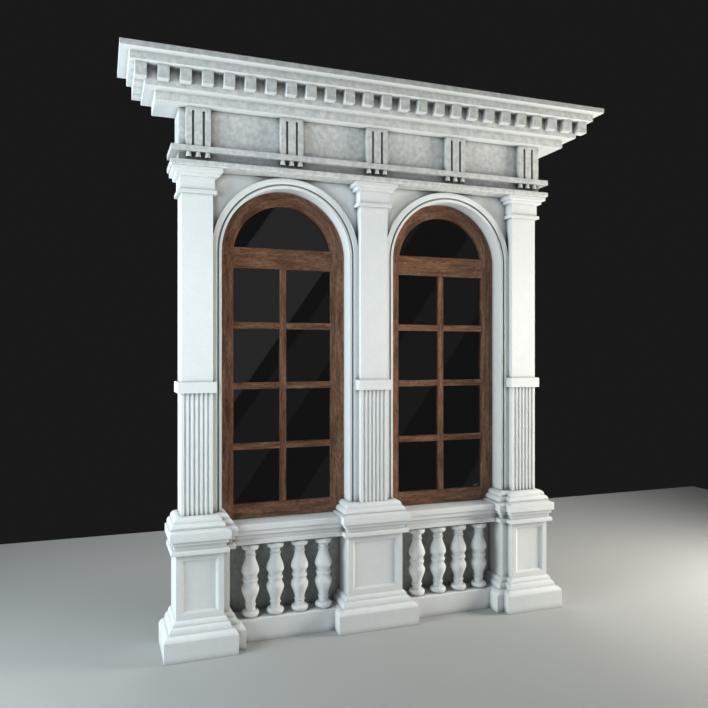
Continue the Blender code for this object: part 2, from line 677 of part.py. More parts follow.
def make_frieze():
    """Plain frieze with five triglyphs, each with two channels that stop short of its head."""
    top = CORNICE_BOTTOM - JOINT
    frieze = piece("frieze", box((-FRIEZE_END, FRIEZE_END), (0, FRIEZE_OUT), (FRIEZE_BOTTOM, top)), stone())
    blocks = bmesh.new()
    channels = bmesh.new()
    face = FRIEZE_OUT + TRIGLYPH_THICKNESS
    half = TRIGLYPH_WIDTH / 2
    for axis in triglyph_axes():
        add_box(blocks, (axis - half, axis + half), (FRIEZE_OUT / 2, face), (FRIEZE_BOTTOM, top))
        for side in (-1, 1):
            x = axis + side * TRIGLYPH_GROOVE_SPACING / 2
            x_range = (x - TRIGLYPH_GROOVE_WIDTH / 2, x + TRIGLYPH_GROOVE_WIDTH / 2)
            z_range = (FRIEZE_BOTTOM - TAENIA_HEIGHT, top - TRIGLYPH_HEAD_HEIGHT)
            add_box(channels, x_range, (face - TRIGLYPH_GROOVE_DEPTH, face + TRIGLYPH_GROOVE_DEPTH), z_range)
    combine(frieze, shaping_body("triglyph blocks", blocks), "UNION")
    combine(frieze, shaping_body("triglyph channels", channels), "DIFFERENCE")


def add_dentils(bm):
    """A row of dentils across the front and three more along each return."""
    z_range = (CORONA_BOTTOM - DENTIL_HEIGHT, CORONA_BOTTOM + CORONA_HEIGHT / 4)
    end = CORNICE_END + DENTIL_REACH
    face = FRIEZE_OUT + DENTIL_REACH
    rooted = DENTIL_BAND_REACH - (DENTIL_REACH - DENTIL_BAND_REACH)
    pitch = (2 * end - DENTIL_WIDTH) / (DENTIL_COUNT - 1)
    for index in range(DENTIL_COUNT):
        left = -end + pitch * index
        add_box(bm, (left, left + DENTIL_WIDTH), (FRIEZE_OUT + rooted, face), z_range)
    return_pitch = (face - DENTIL_WIDTH) / RETURN_DENTIL_COUNT
    for index in range(1, RETURN_DENTIL_COUNT + 1):
        out = face - return_pitch * index
        for side in (-1, 1):
            x_range = sorted((side * (CORNICE_END + rooted), side * end))
            add_box(bm, x_range, (out - DENTIL_WIDTH, out), z_range)


def make_cornice():
    """Bed block, dentil band, corona and top member in one length, with its dentils."""
    profile = [
        (BED_REACH, CORNICE_BOTTOM),
        (BED_REACH, DENTIL_BAND_BOTTOM),
        (DENTIL_BAND_REACH, DENTIL_BAND_BOTTOM),
        (DENTIL_BAND_REACH, CORONA_BOTTOM),
        (CORONA_REACH, CORONA_BOTTOM),
        (CORONA_REACH, TOP_BOTTOM),
        (TOP_REACH, TOP_BOTTOM),
        (TOP_REACH, CORNICE_TOP),
    ]
    outline = end_to_end(CORNICE_END, FRIEZE_OUT)
    cornice = piece("cornice", moulded_block(outline, [1, 1, 1, 0], profile), stone())
    dentils = bmesh.new()
    add_dentils(dentils)
    combine(cornice, shaping_body("dentils", dentils), "UNION")


def cleared(profile):
    """A moulding profile with its ledges raised and its overhangs lowered by the joint."""
    line = []
    for index, (reach, level) in enumerate(profile):
        before = profile[max(index - 1, 0)][0]
        after = profile[min(index + 1, len(profile) - 1)][0]
        shift = math.copysign(JOINT, before - after) if before != after else 0
        line.append((reach, level + shift))
    return line


def space_between_pedestals(name, centre_x):
    """The space that the balustrade fills, a joint clear of the pedestals' mouldings."""
    half = BALUSTRADE_LENGTH / 2 - JOINT
    profile = cleared(pedestal_profile())
    profile[0] = (PLINTH_REACH, -PLINTH_FACE_HEIGHT)
    right = [(centre_x + half - reach * BALUSTRADE_SIDE_SPREAD, level) for reach, level in profile]
    left = [(2 * centre_x - x, level) for x, level in reversed(right)]
    return shaping_body(f"space {name}", prism([*right, *left], (-RAIL_OUT, 2 * RAIL_OUT)))


def rail_profile():
    """Front of the bottom rail, with its top edge rounded over."""
    edge = BOTTOM_RAIL_HEIGHT - RAIL_EDGE_RADIUS
    return [(0, 0), (0, edge), *round_top(0, -RAIL_EDGE_RADIUS, edge, RAIL_EDGE_RADIUS, SMALL_ROUND_STEPS)]


def sill_profile():
    """Front of the sill, which repeats the pedestal cap's members."""
    fillet_top = CAP_BOTTOM + CAP_FILLET_HEIGHT
    face_bottom = SILL_TOP - SILL_FACE_HEIGHT
    return [
        (-SILL_FILLET_SETBACK, SILL_BOTTOM),
        (-SILL_FILLET_SETBACK, fillet_top),
        *round_top(-SILL_FILLET_SETBACK, -SILL_NECK_SETBACK, fillet_top, CAP_ROUND_HEIGHT, SMALL_ROUND_STEPS),
        (-SILL_NECK_SETBACK, CAP_STEP_BOTTOM),
        (-SILL_STEP_SETBACK, CAP_STEP_BOTTOM),
        (-SILL_STEP_SETBACK, face_bottom),
        (0, face_bottom),
        (0, SILL_TOP),
    ]


def make_rails():
    """Bottom rail, the apron wall behind the balusters, and the moulded sill above them."""
    for name, centre_x in BAYS:
        space = space_between_pedestals(name, centre_x)
        left = centre_x - BALUSTRADE_LENGTH / 2
        right = centre_x + BALUSTRADE_LENGTH / 2
        plan = [(left, 0), (left, RAIL_OUT), (right, RAIL_OUT), (right, 0)]
        rail = piece(f"bottom_rail_{name}", moulded_block(plan, [0, 1, 0, 0], rail_profile()), stone())
        wall = box((left, right), (0, APRON_THICKNESS), (BOTTOM_RAIL_HEIGHT + JOINT, SILL_BOTTOM - JOINT))
        apron = piece(f"apron_{name}", wall, stone())
        sill = piece(f"sill_{name}", moulded_block(plan, [0, 1, 0, 0], sill_profile()), stone())
        for member in (rail, apron, sill):
            combine(member, space, "INTERSECT")


def eased(start, end, steps):
    """Points from one (radius, height) to another that start and finish upright."""
    return [(start[0] + (end[0] - start[0]) * (1 - math.cos(math.pi * step / steps)) / 2,
             start[1] + (end[1] - start[1]) * step / steps) for step in range(1, steps + 1)]


def baluster_half_profile():
    """Lower half of a baluster from its middle ring to its foot, as (radius, distance below the middle)."""
    height = (SILL_BOTTOM - BOTTOM_RAIL_HEIGHT) / 2 - JOINT
    foot = height - BALUSTER_FOOT_HEIGHT
    waist = (BALUSTER_WAIST_RADIUS, BALUSTER_WAIST_LEVEL)
    belly = (BALUSTER_BELLY_RADIUS, BALUSTER_BELLY_LEVEL)
    neck = (BALUSTER_NECK_RADIUS, BALUSTER_COLLAR_LEVEL - BALUSTER_COLLAR_SPLAY)
    return [
        (BALUSTER_RING_RADIUS, BALUSTER_RING_HALF_HEIGHT),
        waist,
        *eased(waist, belly, BELLY_STEPS),
        *eased(belly, neck, TAPER_STEPS),
        (BALUSTER_COLLAR_RADIUS, BALUSTER_COLLAR_LEVEL),
        (BALUSTER_NECK_RADIUS, foot - BALUSTER_NECK_SPLAY),
        (BALUSTER_FOOT_RADIUS, foot + BALUSTER_FOOT_SHOULDER),
        (BALUSTER_FOOT_RADIUS, height),
    ]


def baluster_mesh():
    """A turned double-bellied baluster, centred on the origin."""
    half = baluster_half_profile()
    outline = [(0, half[-1][1]), *reversed(half), *[(r, -z) for r, z in half], (0, -half[-1][1])]
    profile = bpy.data.meshes.new("baluster profile")
    edges = [(index, index + 1) for index in range(len(outline) - 1)]
    profile.from_pydata([(r, 0, z) for r, z in outline], edges, [])
    profile.materials.append(stone())
    return profile


def make_balusters():
    """Four balusters in each bay."""
    profile = baluster_mesh()
    middle = (SILL_BOTTOM + BOTTOM_RAIL_HEIGHT) / 2
    for name, centre_x in BAYS:
        for index in range(BALUSTER_COUNT):
            x = centre_x + BALUSTER_PITCH * (index - (BALUSTER_COUNT - 1) / 2)
            baluster = bpy.data.objects.new(f"baluster_{name}_{index + 1}", profile)
            baluster.location = (x, y_of(BALUSTER_OUT), middle)
            collection_named("window surround").objects.link(baluster)
            turn = baluster.modifiers.new("turn", "SCREW")
            turn.axis = "Z"
            turn.angle = 2 * math.pi
            turn.steps = BALUSTER_SIDES
            turn.render_steps = BALUSTER_SIDES
            turn.use_merge_vertices = True
            turn.merge_threshold = 0.0001
            turn.use_smooth_shade = True


def daylight_half():
    """Half the width of the glass between the stiles."""
    return OPENING_HALF - JOINT - STILE_WIDTH


def make_window_frames():
    """Arched timber frame with a transom, one upright bar and three cross bars."""
    bottom = SILL_TOP + JOINT
    out_range = (WINDOW_BACK_OUT, WINDOW_FRONT_OUT)
    bar_range = (WINDOW_BACK_OUT + BAR_FRONT_SETBACK, WINDOW_FRONT_OUT - BAR_FRONT_SETBACK)
    overlap = STILE_WIDTH / 4
    half = daylight_half()
    for name, centre_x in BAYS:
        outer = arch_line(centre_x, OPENING_HALF - JOINT, bottom)
        frame = piece(f"window_frame_{name}", prism(outer, out_range), wood())
        daylight = arch_line(centre_x, half, SILL_TOP + BOTTOM_RAIL_WOOD_HEIGHT)
        through = prism(daylight, (-WINDOW_FRONT_OUT, 2 * WINDOW_FRONT_OUT))
        combine(frame, shaping_body(f"daylight {name}", through), "DIFFERENCE")
        transom = box((centre_x - half - overlap, centre_x + half + overlap), out_range,
                      (TRANSOM_BOTTOM, TRANSOM_BOTTOM + TRANSOM_HEIGHT))
        combine(frame, shaping_body(f"transom {name}", transom), "UNION")
        upright = box((centre_x - BAR_WIDTH / 2, centre_x + BAR_WIDTH / 2), bar_range,
                      (SILL_TOP + BOTTOM_RAIL_WOOD_HEIGHT - overlap, TRANSOM_BOTTOM + overlap))
        combine(frame, shaping_body(f"upright bar {name}", upright), "UNION")
        for row in range(1, PANE_ROWS):
            level = row_bottom(row) - BAR_WIDTH / 2
            bar = box((centre_x - half - overlap, centre_x + half + overlap), bar_range,
                      (level - BAR_WIDTH / 2, level + BAR_WIDTH / 2))
            combine(frame, shaping_body(f"cross bar {name} {row}", bar), "UNION")


def pane_height():
    """Height of the glass that shows in each row."""
    clear = TRANSOM_BOTTOM - SILL_TOP - BOTTOM_RAIL_WOOD_HEIGHT - BAR_WIDTH * (PANE_ROWS - 1)
    return clear / PANE_ROWS


def row_bottom(row):
    """Level of the bottom of the glass in a row, counted from the lowest."""
    return SILL_TOP + BOTTOM_RAIL_WOOD_HEIGHT + row * (pane_height() + BAR_WIDTH)


def make_glass():
    """Eight panes and a lunette in each window."""
    out_range = (GLASS_OUT, GLASS_OUT + GLASS_THICKNESS)
    half = daylight_half()
    for name, centre_x in BAYS:
        for row in range(PANE_ROWS):
            z_range = (row_bottom(row) + JOINT, row_bottom(row) + pane_height() - JOINT)
            for side, label in ((-1, "a"), (1, "b")):
                from_bar = centre_x + side * (BAR_WIDTH / 2 + JOINT)
                to_stile = centre_x + side * (half - JOINT)
                pane = box(sorted((from_bar, to_stile)), out_range, z_range)
                piece(f"pane_{name}_{row + 1}{label}", pane, glass())
        piece(f"lunette_{name}", prism(lunette_outline(centre_x), out_range), glass())


def lunette_outline(centre_x):
    """Half-round glass above the transom, kept inside the facets of its arch."""
    sill = TRANSOM_BOTTOM + TRANSOM_HEIGHT + JOINT
    radius = (daylight_half() - JOINT) * math.cos(math.pi / ARCH_STEPS / 2)
    low = math.asin((sill - SPRING_HEIGHT) / radius)
    angles = [low + (math.pi - 2 * low) * step / ARCH_STEPS for step in range(ARCH_STEPS + 1)]
    return [(centre_x + radius * math.cos(a), SPRING_HEIGHT + radius * math.sin(a)) for a in angles]


def main():
    for old in list(bpy.data.objects):
        bpy.data.objects.remove(old, do_unlink=True)
    rebates = {name: window_rebate(f"window rebate {name}", centre_x) for name, centre_x in BAYS}
    make_pedestals(rebates)
    make_bases()
    make_pilasters()
    make_arches()
    make_architrave()
    make_frieze()
    make_cornice()
    make_rails()
    make_balusters()
    make_window_frames()
    make_glass()


main()
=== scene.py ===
# %% [markdown]
# # A pair of arched windows in a painted stone surround
#
# The real thing is a piece of a facade: three pilasters on pedestals carry an entablature, and between
# them stand two round-arched timber windows over a balustrade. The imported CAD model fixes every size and
# place. This notebook models each stone and each piece of timber again with softened edges and smooth
# curves, paints it, and stands it in a studio.

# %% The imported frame
import math

import bpy
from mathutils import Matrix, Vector


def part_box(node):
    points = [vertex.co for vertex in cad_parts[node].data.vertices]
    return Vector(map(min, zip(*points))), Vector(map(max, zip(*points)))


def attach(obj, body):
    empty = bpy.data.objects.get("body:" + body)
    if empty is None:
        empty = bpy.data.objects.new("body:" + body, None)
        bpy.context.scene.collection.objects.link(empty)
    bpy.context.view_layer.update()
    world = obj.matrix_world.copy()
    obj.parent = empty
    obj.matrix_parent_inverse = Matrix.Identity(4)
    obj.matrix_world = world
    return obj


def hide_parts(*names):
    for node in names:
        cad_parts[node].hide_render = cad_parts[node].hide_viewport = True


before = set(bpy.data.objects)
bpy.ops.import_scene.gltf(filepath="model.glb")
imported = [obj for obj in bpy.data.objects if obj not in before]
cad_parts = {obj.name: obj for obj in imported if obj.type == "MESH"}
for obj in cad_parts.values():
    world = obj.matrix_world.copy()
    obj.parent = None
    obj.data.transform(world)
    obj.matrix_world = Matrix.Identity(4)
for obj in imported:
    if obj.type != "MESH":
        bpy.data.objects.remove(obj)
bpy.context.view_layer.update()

# %% [markdown]
# ## Setting out
# A mason works from axes and levels, and so does this notebook. Depth is counted as "out", the distance
# forward of the flat back that stands against the wall. The levels are read off the CAD nodes, so the
# new pieces can't drift away from the frame. A joint is the hair of room between two stones, and a back
# step is what sets the backs of two overlapping blocks apart.

# %% Axes, planes and levels
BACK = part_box("cornice")[1].y
BAY = 1.580
SHAFT_HALF = 0.130
SHAFT_OUT = 0.273
END_FACE = BAY + SHAFT_HALF
FRIEZE_OUT = 0.298
FRIEZE_END = END_FACE + 0.025
CORNICE_END = FRIEZE_END + 0.073
BAY_CENTRES = {"left": -BAY / 2, "right": BAY / 2}
PILASTER_SIDES = {"left": -1, "centre": 0, "right": 1}
JOINT = 0.0003
BACK_STEP = 0.0005
PEDESTAL_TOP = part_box("pedestal_centre")[1].z
BASE_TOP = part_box("base_centre")[1].z
ARCHITRAVE_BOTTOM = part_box("architrave")[0].z
FRIEZE_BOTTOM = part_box("frieze")[0].z
CORNICE_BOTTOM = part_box("cornice")[0].z
SILL_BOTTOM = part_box("sill_left")[0].z
SILL_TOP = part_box("sill_left")[1].z
RAIL_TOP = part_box("bottom_rail_left")[1].z


def y_of(out):
    """Y of a face that stands this far out from the flat back."""
    return BACK - out


print("levels:", [round(z, 4) for z in (RAIL_TOP, SILL_TOP, BASE_TOP, ARCHITRAVE_BOTTOM, CORNICE_BOTTOM)])

# %% [markdown]
# ## The camera
# Upright edges stay upright in the photograph, so the camera is level. It stands to the left at the
# height of the windows' middle and looks a little to the right. The lens follows from the photograph's
# own perspective.

# %% Camera
CAMERA_PLACE = (-2.3483, -5.8187, 2.4526)
CAMERA_TURN = math.radians(-20.06118)
FOCAL_PIXELS = 699.2257
PHOTO_SIDE = 708

bpy.ops.object.camera_add(location=CAMERA_PLACE, rotation=(math.pi / 2, 0, CAMERA_TURN))
camera = bpy.context.object
camera.name = "camera"
camera.data.sensor_width = 36
camera.data.lens = FOCAL_PIXELS / PHOTO_SIDE * camera.data.sensor_width
bpy.context.scene.camera = camera
print("lens", round(camera.data.lens, 2), "mm")

# %% [markdown]
# ## The studio
# The photograph shows the surround against black, lit almost from its two sides by large soft lights, so
# that every step of the mouldings shows: cool ones from the left that make the left returns almost white,
# and a warmer one from the right. A low light and two narrow beams fill in from the front, and lights from
# above and from behind serve the other views. The world stays almost black, so that the clear glass has
# darkness behind it, as a room has.

# %% Floor, world and lights
FLOOR_MIDDLE = (0.0, 0.0, 0.0)
FLOOR_SIZE = (16.0, 8.4)


def aimed_light(name, place, target, size, watts, colour, beam=180, seen_in_glass=False):
    """A rectangular area light that looks from its place at a target, with a beam of so many degrees."""
    bpy.ops.object.light_add(type="AREA", location=place)
    light = bpy.context.object
    light.name = name
    light.rotation_euler = (Vector(target) - Vector(place)).to_track_quat("-Z", "Y").to_euler()
    light.data.shape = "RECTANGLE"
    light.data.size, light.data.size_y = size
    light.data.spread = math.radians(beam)
    light.data.energy = watts
    light.data.color = colour
    light.visible_camera = False
    light.visible_glossy = seen_in_glass
    light.visible_transmission = False
    return light


def plain_material(name, colour, roughness):
    """A Principled material of one plain colour, for the stage only."""
    made = bpy.data.materials.new(name)
    made.use_nodes = True
    shader = made.node_tree.nodes["Principled BSDF"]
    shader.inputs["Base Color"].default_value = (*colour, 1)
    shader.inputs["Roughness"].default_value = roughness
    return made


bpy.ops.object.select_all(action="DESELECT")
bpy.ops.mesh.primitive_plane_add(size=1, location=FLOOR_MIDDLE)
floor = bpy.context.object
floor.name = "floor"
floor.scale = (*FLOOR_SIZE, 1)
floor.data.materials.append(plain_material("pale floor", (0.42, 0.42, 0.41), 0.9))

world = bpy.context.scene.world or bpy.data.worlds.new("studio")
bpy.context.scene.world = world
world.use_nodes = True
world.node_tree.nodes["Background"].inputs["Color"].default_value = (0.010, 0.010, 0.010, 1)

MIDDLE = (0, 0, 2.4)
COOL = (0.82, 0.94, 1.0)
WARM = (1.0, 0.975, 0.89)
aimed_light("cool light from the left", (-5.2, -1.9, 3.1), (-0.6, 0.1, 2.6), (2.0, 3.0), 180, COOL)
aimed_light("side light from the left", (-6.5, -0.6, 2.7), (-1.5, 0.1, 2.6), (1.6, 4.2), 235, COOL)
aimed_light("low light from the left", (-4.5, -3.2, 0.7), (-0.6, 0, 3.6), (2.0, 1.0), 26, COOL)
aimed_light("beam from the left front", (-4.6, -5.5, 3.0), (-1.2, 0, 2.95), (1.2, 1.2), 7.5, COOL, beam=42)
aimed_light("warm light from the right", (6.0, -1.6, 2.4), (1.6, 0.1, 2.4), (1.6, 3.0), 465, WARM)
aimed_light("beam from the right front", (4.6, -5.5, 3.0), (1.2, 0, 2.8), (1.2, 1.2), 7.5, WARM, beam=40)
aimed_light("light from above", (0.5, 0.5, 8.0), (0.5, 0.4, 0), (4.0, 3.0), 45, (1, 1, 1))
aimed_light("light from behind", (2.0, 9.0, 6.0), MIDDLE, (5.0, 4.0), 300, (0.95, 0.97, 1.0))

bpy.context.scene.view_settings.view_transform = "Standard"

# %% [markdown]
# ## What the glass reflects
# The panes in the photograph show slanting grey bands with sharp edges: the reflection of dim strips of
# light in the dark room behind the camera. Four long slanted area lights give the same bands. They are
# so dim that only a mirror shows them, and they hang where the glass mirrors them to the camera.

# %% Gloss strips
STRIP_Y = -9.0
STRIP_MIDDLE = (3.5, 2.5)
STRIP_LEAN = math.radians(35)
STRIP_LENGTH = 15.0
STRIPS = {"bright": (-3.60, -1.84, 0.40), "narrow": (-1.48, -0.54, 0.12),
          "middle": (0.68, 2.00, 0.12), "last": (4.13, 5.60, 0.12)}

for name, (start, end, radiance) in STRIPS.items():
    across = (start + end) / 2
    width = end - start
    place = (STRIP_MIDDLE[0] + across * math.cos(STRIP_LEAN), STRIP_Y,
             STRIP_MIDDLE[1] - across * math.sin(STRIP_LEAN))
    watts = radiance * math.pi * width * STRIP_LENGTH
    strip = aimed_light(f"{name} strip", place, MIDDLE, (width, STRIP_LENGTH), watts, (1, 1, 1),
                        seen_in_glass=True)
    strip.rotation_euler = (math.pi / 2, STRIP_LEAN, 0)
    print(strip.name, round(watts, 1), "W")

# %% [markdown]
# ## Painted stone
# The surround is stone or cast stone under a thin coat of white paint. Up close it shows a faint mottle
# and a fine sandy grain, and its recesses and inner corners are darkened with painted shade. One noise
# pattern carries the mottle and another the grain, which drives bump and roughness too. The painted
# shade comes from an ambient occlusion node, which measures how closed in a spot is and so finds every
# recess by itself.

# %% Painted stone material


def add_node(material, kind, **values):
    """Add a node to a material and set its properties or its plain inputs by name."""
    node = material.node_tree.nodes.new(kind)
    for key, value in values.items():
        if hasattr(node, key):
            setattr(node, key, value)
        else:
            node.inputs[key.replace("_", " ")].default_value = value
    return node


def join(material, source, output, target, socket):
    """Link one node's output to another's input."""
    material.node_tree.links.new(source.outputs[output], target.inputs[socket])


def noise(material, place, size, detail, roughness=0.5):
    """A noise whose blotches are about this size, in metres."""
    pattern = add_node(material, "ShaderNodeTexNoise", Scale=1 / size, Detail=detail, Roughness=roughness)
    join(material, place, "Object" if "Object" in place.outputs else "Vector", pattern, "Vector")
    return pattern


def ramp(material, source, output, stops):
    """A colour ramp with these (position, colour) stops."""
    made = add_node(material, "ShaderNodeValToRGB")
    first, last = made.color_ramp.elements
    first.position, first.color = stops[0][0], (*stops[0][1], 1)
    last.position, last.color = stops[-1][0], (*stops[-1][1], 1)
    for position, colour in stops[1:-1]:
        made.color_ramp.elements.new(position).color = (*colour, 1)
    join(material, source, output, made, "Fac")
    return made


def mixed(material, kind, factor, first, second):
    """Mix two colours; each is a (node, output) pair or a plain colour."""
    made = add_node(material, "ShaderNodeMix", data_type="RGBA", blend_type=kind)
    made.inputs["Factor"].default_value = factor
    for socket, value in (("A", first), ("B", second)):
        target = next(item for item in made.inputs if item.name == socket and item.type == "RGBA")
        if isinstance(value[0], bpy.types.NodeSocket):
            material.node_tree.links.new(value[0], target)
        elif isinstance(value[0], bpy.types.Node):
            material.node_tree.links.new(value[0].outputs[value[1]], target)
        else:
            target.default_value = (*value, 1)
    return made


def colour_out(mix_node):
    """The colour output of a mix node."""
    return next(item for item in mix_node.outputs if item.type == "RGBA")


# Colours of the painted shade that ambient occlusion lays in recesses, from the deepest to none.
RECESS_SHADE = (0.24, 0.24, 0.23)
SOFT_RECESS_SHADE = (0.80, 0.80, 0.80)
UNSHADED = (1.0, 1.0, 1.0)
SHADE_REACH = 0.075


def painted_stone(name, light, dark, blotch, grain):
    """Paint over stone: a mottle and a sandy grain of these sizes, in metres, with painted shade in the
    recesses.
    """
    made = bpy.data.materials.new(name)
    made.use_nodes = True
    shader = made.node_tree.nodes["Principled BSDF"]
    place = add_node(made, "ShaderNodeTexCoord")
    broad = noise(made, place, blotch, 3.0)
    tone = ramp(made, broad, "Fac", ((0.35, dark), (0.65, light)))
    sandy = noise(made, place, grain, 4.0, 0.7)
    speckle = ramp(made, sandy, "Fac", ((0.30, (0.90, 0.90, 0.90)), (0.62, (1.0, 1.0, 1.0))))
    paint = mixed(made, "MULTIPLY", 1.0, (tone, "Color"), (speckle, "Color"))
    # Painted shade: ambient occlusion darkens the paint in recesses and inner corners.
    openness = add_node(made, "ShaderNodeAmbientOcclusion", samples=8, Distance=SHADE_REACH)
    painted_shade = ramp(made, openness, "AO", ((0.32, RECESS_SHADE), (0.60, SOFT_RECESS_SHADE), (0.88, UNSHADED)))
    paint = mixed(made, "MULTIPLY", 1.0, (colour_out(paint),), (painted_shade, "Color"))
    made.node_tree.links.new(colour_out(paint), shader.inputs["Base Color"])
    sheen = add_node(made, "ShaderNodeMapRange")
    sheen.inputs["To Min"].default_value = 0.50
    sheen.inputs["To Max"].default_value = 0.72
    join(made, sandy, "Fac", sheen, "Value")
    join(made, sheen, "Result", shader, "Roughness")
    relief = add_node(made, "ShaderNodeBump", Strength=0.25, Distance=0.001)
    join(made, sandy, "Fac", relief, "Height")
    join(made, relief, "Normal", shader, "Normal")
    shader.inputs["Specular IOR Level"].default_value = 0.35
    return made


SOUND_COAT = (0.10, 0.007)
WORN_COAT = (0.045, 0.006)
WHITE_PAINT = painted_stone("white painted stone", (0.815, 0.82, 0.815), (0.79, 0.80, 0.80), *SOUND_COAT)
GREY_PAINT = painted_stone("greyed painted stone", (0.75, 0.74, 0.70), (0.55, 0.57, 0.58), *WORN_COAT)
# A dark paint for the aprons behind the balusters: painted shade where that wall lies in shadow.
APRON_SHADE_PAINT = painted_stone("shaded apron paint", (0.50, 0.50, 0.48), (0.37, 0.385, 0.39),
                                *WORN_COAT)
# A darker paint for the architrave's field: painted shade under the taenia.
FIELD_SHADE_PAINT = painted_stone("shaded field paint", (0.50, 0.50, 0.50), (0.37, 0.38, 0.39), *WORN_COAT)
print("stone finishes:", WHITE_PAINT.name, GREY_PAINT.name, APRON_SHADE_PAINT.name, FIELD_SHADE_PAINT.name)

# %% [markdown]
# ## Working by hand
# Every new stone starts as a primitive at its size and place. Nothing else may be selected when an edit
# begins, so the helpers here clear the selection first, and pick faces by where they are.

# %% Helpers for modelling


def only(*objects):
    """Select these objects and nothing else, the first one active."""
    bpy.ops.object.select_all(action="DESELECT")
    for item in objects:
        item.select_set(True)
    bpy.context.view_layer.objects.active = objects[0]


def block(x_range, out_range, z_range):
    """A cube primitive at its size and place: the start of a squared stone or a piece of timber."""
    bpy.ops.object.select_all(action="DESELECT")
    centre = (sum(x_range) / 2, y_of(sum(out_range) / 2), sum(z_range) / 2)
    size = [abs(b - a) for a, b in (x_range, out_range, z_range)]
    bpy.ops.mesh.primitive_cube_add(size=1, location=centre, scale=size)
    bpy.ops.object.transform_apply(location=True, rotation=True, scale=True)
    return bpy.context.object


def pick_faces(test):
    """In edit mode, select only the active object's faces whose centre and normal pass the test."""
    bpy.ops.object.mode_set(mode="OBJECT")
    bpy.context.tool_settings.mesh_select_mode = (False, False, True)
    mesh = bpy.context.object.data
    for part in (*mesh.vertices, *mesh.edges):
        part.select = False
    for face in mesh.polygons:
        face.select = test(face.center, face.normal)
    bpy.ops.object.mode_set(mode="EDIT")


def pick_vertices(test):
    """In edit mode, select only the active object's vertices whose place passes the test."""
    bpy.ops.object.mode_set(mode="OBJECT")
    bpy.context.tool_settings.mesh_select_mode = (True, False, False)
    mesh = bpy.context.object.data
    for part in (*mesh.polygons, *mesh.edges):
        part.select = False
    for vertex in mesh.vertices:
        vertex.select = test(vertex.co)
    bpy.ops.object.mode_set(mode="EDIT")


def all_faces_outward():
    """Merge doubles, turn every face of the active mesh outwards and leave edit mode."""
    bpy.ops.object.mode_set(mode="EDIT")
    bpy.ops.mesh.select_all(action="SELECT")
    bpy.ops.mesh.remove_doubles(threshold=0.00001)
    bpy.ops.mesh.normals_make_consistent(inside=False)
    bpy.ops.object.mode_set(mode="OBJECT")


def joined(parts):
    """Join several objects into one."""
    only(*parts)
    bpy.ops.object.join()
    return bpy.context.object


def cut_away(target, cutter):
    """Cut one body out of another and remove the cutter."""
    only(target)
    cut = target.modifiers.new("cut", "BOOLEAN")
    cut.object = cutter
    cut.operation = "DIFFERENCE"
    cut.solver = "EXACT"
    bpy.ops.object.modifier_apply(modifier=cut.name)
    bpy.data.objects.remove(cutter, do_unlink=True)


STONE_EDGE = 0.002
BEVEL_ABOVE = 32
SMOOTH_BELOW = 18


def finish_piece(piece, name, nodes, finish, edge=STONE_EDGE):
    """Soften the sharp edges, smooth the round ones, paint the piece and put it in the CAD nodes' place."""
    only(piece)
    if edge:
        soften = piece.modifiers.new("soften", "BEVEL")
        soften.width = edge
        soften.segments = 2
        soften.limit_method = "ANGLE"
        soften.angle_limit = math.radians(BEVEL_ABOVE)
        bpy.ops.object.modifier_apply(modifier=soften.name)
    bpy.ops.object.shade_smooth_by_angle(angle=math.radians(SMOOTH_BELOW))
    piece.name = name
    piece.data.name = name
    piece.data.materials.clear()
    piece.data.materials.append(finish)
    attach(piece, "root")
    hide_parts(*nodes)
    print(name, "has", len(piece.data.polygons), "faces")
    return piece


def repaint(piece, finish, test):
    """Give the faces whose centre and normal pass a test another finish."""
    piece.data.materials.append(finish)
    for face in piece.data.polygons:
        if test(face.center, face.normal):
            face.material_index = len(piece.data.materials) - 1


def reface(node, finish):
    """Give a CAD node another finish through its material slots, without touching its mesh."""
    for material_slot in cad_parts[node].material_slots:
        material_slot.material = finish


# %% [markdown]
# ## Mouldings that run round a block
# A pedestal, a base or a capital is one section of moulding returned round the sides of a block. By hand
# it could be a profile swept along a path, but a stack is easier to steer: a flat plate is pulled up
# through the section point by point, and resized at each point by as much as the moulding projects. The
# strips that this leaves on the flat back, and on an end that doesn't project, are dissolved into one face.

# %% The moulding tool
ROUND_STEPS = 7
ROUND_START = math.radians(28)


def quarter_round(reach, end_reach, level, height, steps=ROUND_STEPS):
    """Points of a convex round that starts with a crease and turns inwards as it rises."""
    first = ROUND_START
    angles = [first + (math.pi / 2 - first) * step / steps for step in range(1, steps + 1)]
    return [(end_reach + (reach - end_reach) * math.cos(a) / math.cos(first),
             level + height * (math.sin(a) - math.sin(first)) / (1 - math.sin(first))) for a in angles]


def span_at(plan, reach):
    """Left and right ends of a plan where its moulding projects this far."""
    return plan["left"] - plan["left_share"] * reach, plan["right"] + plan["right_share"] * reach


def plan_of(left, right, out, left_share=1.0, right_share=1.0, back=0.0):
    """A rectangular plan, with the share of the moulding's reach that each end takes."""
    return {"left": left, "right": right, "out": out, "back": back,
            "left_share": left_share, "right_share": right_share}


